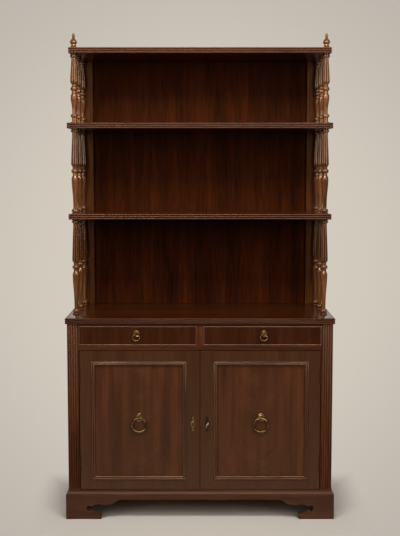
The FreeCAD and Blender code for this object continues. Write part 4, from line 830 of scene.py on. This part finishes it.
def column_runs(height, ring, bead):
    """The profile of one column from its foot up, with its ring and its bead at their heights."""
    ankle = bead + 11.0
    shoulder = ring - 30.0
    neck = height - NECK_DROP
    vase = ring + 31.0
    return [
        [(0.0, 0.0), (FOOT, 0.0)],
        [(FOOT, 0.0), (FOOT, 3.0)],
        [(FOOT - 1.2, 3.3), (WAIST, 4.4)],
        [(WAIST, 4.4), (WAIST, bead - 6.4)],
        [(WAIST + 0.2, bead - 6.4), (BEAD - 0.9, bead - 4.0), (BEAD, bead), (BEAD - 0.9, bead + 4.2),
         (WAIST, bead + 7.6)],
        [(ANKLE + 0.2, bead + 8.0), (ANKLE, ankle)],
        [(ANKLE, ankle), (ANKLE + 1.0, ankle + (shoulder - ankle) * 0.35),
         (SHOULDER - 1.0, ankle + (shoulder - ankle) * 0.76), (SHOULDER, shoulder - 2.0),
         (SHOULDER - 0.9, shoulder + 6.0), (WAIST + 0.2, ring - 17.0)],
        [(WAIST, ring - 16.6), (WAIST - 0.4, ring - 8.4)],
        [(WAIST + 0.4, ring - 7.6), (RING - 0.9, ring - 4.6), (RING, ring), (RING - 0.9, ring + 4.6),
         (WAIST + 0.4, ring + 7.6)],
        [(WAIST - 0.4, ring + 8.4), (WAIST, ring + 16.6)],
        [(WAIST + 0.4, ring + 17.0), (VASE - 1.0, ring + 23.0), (VASE, vase),
         (THROAT + (VASE - THROAT) * 0.55, vase + (neck - vase) * 0.5), (THROAT, neck)],
        [(THROAT + 0.7, neck + 0.6), (THROAT + 0.7, neck + 2.4)],
        [(THROAT + 0.9, neck + 3.0), (CAP - 0.7, neck + 6.4), (CAP, neck + 9.0), (CAP - 0.7, neck + 11.6),
         (THROAT + 1.2, neck + 14.4)],
        [(CAP - 0.2, neck + 15.0), (CAP - 0.2, height)],
        [(CAP - 0.2, height), (0.0, height)],
    ]


print("the thickest places of a column are", sorted({FOOT, BEAD, SHOULDER, RING, VASE, CAP}), "mm in radius")

# %% Three tiers of columns
TIERS = {
    "lower_columns": {"ring": 179.0, "bead": 11.0},
    "middle_columns": {"ring": 161.0, "bead": 11.0},
    "upper_columns": {"ring": 127.0, "bead": 26.0},
}
REED_START = 16.9
TIP_END = 26.0
REED_END = 18.1
PIN = 10 * MM
low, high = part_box("lower_columns")
COLUMN_X = high.x - CAP * MM
COLUMN_ROWS = (low.y + CAP * MM, (low.y + high.y) / 2, high.y - CAP * MM)
for node, tier in TIERS.items():
    low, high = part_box(node)
    stand = low.z + PIN
    height = (high.z - stand) / MM
    reed_low = tier["ring"] + REED_START
    reed_high = height - REED_END
    pattern = turn(node + "_pattern", column_runs(height, **tier), STEPS)
    carve_reeds(pattern, reed_low, reed_high, REED_DEPTH)
    carve_reeds(pattern, reed_low, tier["ring"] + TIP_END, TIP_DEPTH)
    wax_and_shade_grooves(pattern, reed_low, reed_high)
    for side in (-1, 1):
        for row in COLUMN_ROWS:
            column = copy_to(pattern, node + "_turning", (COLUMN_X * side, row, stand))
            finish(column, node, wood("column_mahogany", UPRIGHT))
    bpy.data.objects.remove(pattern)
    print(node, "is", round(height), "mm high")

# %% [markdown]
# ## Finials
# The two finials are turned like the columns: a foot, a thin neck, a bulb that draws in to a point and a
# small ball at the tip. They are too small for reeds, so half the steps are enough.

# %% Two finials
FINIAL = [
    [(0.0, 0.0), (14.6, 0.0)],
    [(14.6, 0.0), (14.6, 1.6)],
    [(13.6, 2.0), (10.4, 7.0), (8.8, 13.0)],
    [(9.4, 13.4), (12.8, 17.5), (13.6, 22.0), (11.4, 28.0), (6.6, 34.0), (4.4, 39.2)],
    [(4.6, 39.6), (5.6, 44.0), (5.4, 47.5), (3.4, 52.0), (0.0, 54.3)],
]
low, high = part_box("finials")
pattern = turn("finial_pattern", FINIAL, STEPS // 2)
for side in (-1, 1):
    finial = copy_to(pattern, "finial_turning", (COLUMN_X * side, COLUMN_ROWS[0], low.z + PIN))
    finish(finial, "finials", wood("column_mahogany", UPRIGHT))
bpy.data.objects.remove(pattern)
print("finial tips at", round(high.z / MM), "mm")

# %% [markdown]
# ## Ring pulls
# A pull has three parts: a turned rosette on the wood, an eye that stands out from it, and a cast ring that
# hangs in the eye. The rosette comes off the same lathe and is tipped to face the front. The eye and the
# ring start as tori. The big door rings are round and a little thicker at the bottom, where they have to
# weigh; the drawer drops are drawn in towards the eye, so they are pear-shaped.

# %% Small castings
FRONTWARDS = (math.radians(90), 0.0, 0.0)
SIDEWARDS = (0.0, math.radians(90), 0.0)


def face_front(piece, place):
    """Tip a turned piece from facing up to facing the front, and set it down."""
    select_only(piece)
    piece.rotation_euler = FRONTWARDS
    piece.location = place
    bpy.ops.object.transform_apply(location=True, rotation=True, scale=False)


def torus(radius, wire, place, tip, steps, wire_steps):
    """A ring of round wire, tipped and set down. The radius runs to the middle of the wire."""
    bpy.ops.object.select_all(action="DESELECT")
    bpy.ops.mesh.primitive_torus_add(major_segments=steps, minor_segments=wire_steps, major_radius=radius,
                                     minor_radius=wire, location=place, rotation=tip)
    bpy.ops.object.transform_apply(location=True, rotation=True, scale=False)
    return bpy.context.object


def widen(piece, shares, centre):
    """Draw a whole piece out about a centre, by one share for each axis."""
    pick(piece, lambda place: True)
    bpy.ops.transform.resize(value=shares, center_override=centre)
    bpy.ops.object.mode_set(mode="OBJECT")


def join(pieces, name):
    """Make one object of several."""
    bpy.ops.object.select_all(action="DESELECT")
    for piece in pieces:
        piece.select_set(True)
    bpy.context.view_layer.objects.active = pieces[0]
    bpy.ops.object.join()
    pieces[0].name = name
    return pieces[0]


print("a piece that faces the front is tipped by", round(math.degrees(FRONTWARDS[0])), "degrees")

# %% Rosettes with their eyes
DOOR_WIRE = 3.0
DRAWER_WIRE = 2.1
EYE_WALL = 1.6
EYE_PLAY = 0.35
EYE_WIDTH = 1.5


def rosette(node, ring_node, radius, height, wire):
    """A moulded rosette with an eye round the top of its ring."""
    low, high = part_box(node)
    ring_low, ring_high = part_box(ring_node)
    middle = (low.x + high.x) / 2
    eye_height = ring_high.z - wire * MM
    eye_depth = (ring_low.y + ring_high.y) / 2
    plate = turn(node + "_plate", [
        [(0.0, 0.0), (radius, 0.0)],
        [(radius, 0.0), (radius + 0.1, height * 0.2), (radius - 0.9, height * 0.42)],
        [(radius - 1.6, height * 0.36), (radius * 0.72, height * 0.42), (radius * 0.62, height * 0.5)],
        [(radius * 0.6, height * 0.72), (radius * 0.5, height * 0.95), (radius * 0.3, height * 0.8)],
        [(radius * 0.28, height * 0.8), (radius * 0.2, height * 1.15), (0.0, height * 1.2)],
    ], steps=64)
    face_front(plate, (middle, high.y, eye_height))
    stalk_end = (high.y - eye_depth) / MM - wire - EYE_WALL
    stalk = turn(node + "_stalk", [
        [(0.0, 0.0), (2.6, 0.0)],
        [(2.6, 0.0), (1.9, 1.5), (1.8, stalk_end)],
        [(1.8, stalk_end), (0.0, stalk_end)],
    ], steps=24)
    face_front(stalk, (middle, high.y, eye_height))
    eye_place = (middle, eye_depth, eye_height)
    eye = torus((wire + EYE_PLAY + EYE_WALL / 2) * MM, EYE_WALL / 2 * MM, eye_place, SIDEWARDS,
                steps=32, wire_steps=12)
    widen(eye, (EYE_WIDTH, 1.0, 1.0), eye_place)
    finish(join([plate, stalk, eye], node + "_cast"), node, METALS["aged_brass"])


for side in ("left", "right"):
    rosette(side + "_door_rosette", side + "_door_ring", radius=15.9, height=3.6, wire=DOOR_WIRE)
    rosette(side + "_drawer_rosette", side + "_drawer_ring", radius=11.4, height=2.7,
            wire=DRAWER_WIRE)
print("four rosettes")

# %% Door rings and drawer drops
RING_STEPS = 72
SWELL = 0.22
DROP_SQUEEZE = 0.45
NEAR_EYE = 0.9


def hanging_ring(node, wire, squeeze):
    """A cast ring. Its upper half is drawn in by the squeeze towards the eye: 0 leaves it round."""
    low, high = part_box(node)
    middle = (low + high) / 2
    radius = (high.x - low.x) / 2 - wire * MM
    ring = torus(radius, wire * MM, middle, FRONTWARDS, RING_STEPS, wire_steps=16)
    for step in range(RING_STEPS):
        turn_angle = step / RING_STEPS * 2 * math.pi
        centre = middle + Vector((math.cos(turn_angle), 0.0, math.sin(turn_angle))) * radius
        up = math.sin(turn_angle)

        def in_section(place):
            angle = math.atan2(place.z - middle.z, place.x - middle.x)
            return abs(math.remainder(angle - turn_angle, 2 * math.pi)) < math.pi / RING_STEPS
        if up >= NEAR_EYE and squeeze == 0:
            continue
        pick(ring, in_section)
        if up < 0:
            swell = 1.0 + SWELL * up * up
            bpy.ops.transform.resize(value=(swell, swell, swell), center_override=centre)
        if up > 0 and squeeze:
            bpy.ops.transform.translate(value=((middle.x - centre.x) * squeeze * up, 0.0, 0.0))
        bpy.ops.object.mode_set(mode="OBJECT")
    ring.name = node + "_cast"
    finish(ring, node, METALS["aged_brass"])


for side in ("left", "right"):
    hanging_ring(side + "_door_ring", DOOR_WIRE, squeeze=0.0)
    hanging_ring(side + "_drawer_ring", DRAWER_WIRE, DROP_SQUEEZE)
print("two door rings and two drawer drops")

# %% [markdown]
# ## Keyholes and key
# Each escutcheon is held by two domed pins and has a raised oval rim round the keyhole. The left one is
# bright brass, and the right one, behind the key, is a darker copy of it. The rim is a torus drawn out to an
# oval in edit mode. The key gets the collar that stops it at the right depth, and the collar rides on the
# key's own body, so it turns with it.

# %% Rims, pins and collar
PIN_HEIGHT = 23.5 * MM
RIM_DROP = 3.0 * MM
RIM_RADIUS = 5.4 * MM
RIM_WIRE = 1.1 * MM
RIM_OVAL = (1.0, 1.0, 1.9)
DOMED_PIN = [[(0.0, 0.0), (2.1, 0.0)], [(2.1, 0.0), (1.7, 0.8), (0.0, 1.3)]]
KEY_COLLAR = [[(0.0, 0.0), (3.4, 0.0)], [(3.4, 0.0), (3.9, 0.8), (3.4, 1.6)], [(3.4, 1.6), (0.0, 1.6)]]
COLLAR_GAP = 1.3 * MM


def keyhole_rim(node, brass):
    """The raised rim and the two pins of one escutcheon."""
    low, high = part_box(node)
    across = (low.x + high.x) / 2
    level = (low.z + high.z) / 2
    centre = Vector((across, low.y, level - RIM_DROP))
    rim = torus(RIM_RADIUS, RIM_WIRE, centre, FRONTWARDS, steps=48, wire_steps=10)
    widen(rim, RIM_OVAL, centre)
    pieces = [rim]
    for height in (level - PIN_HEIGHT, level + PIN_HEIGHT):
        pin = turn(node + "_pin", DOMED_PIN, steps=20)
        face_front(pin, (across, low.y, height))
        pieces.append(pin)
    finish(join(pieces, node + "_rim"), node, brass)


keyhole_rim("left_door_escutcheon", bright_brass)
keyhole_rim("right_door_escutcheon", dark_brass)
low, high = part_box("right_door_escutcheon")
collar = turn("key_collar", KEY_COLLAR, steps=24)
face_front(collar, ((low.x + high.x) / 2, low.y - COLLAR_GAP, (low.z + high.z) / 2))
finish(collar, "key", METALS["steel"])
print("two rims, four pins and the key's collar")
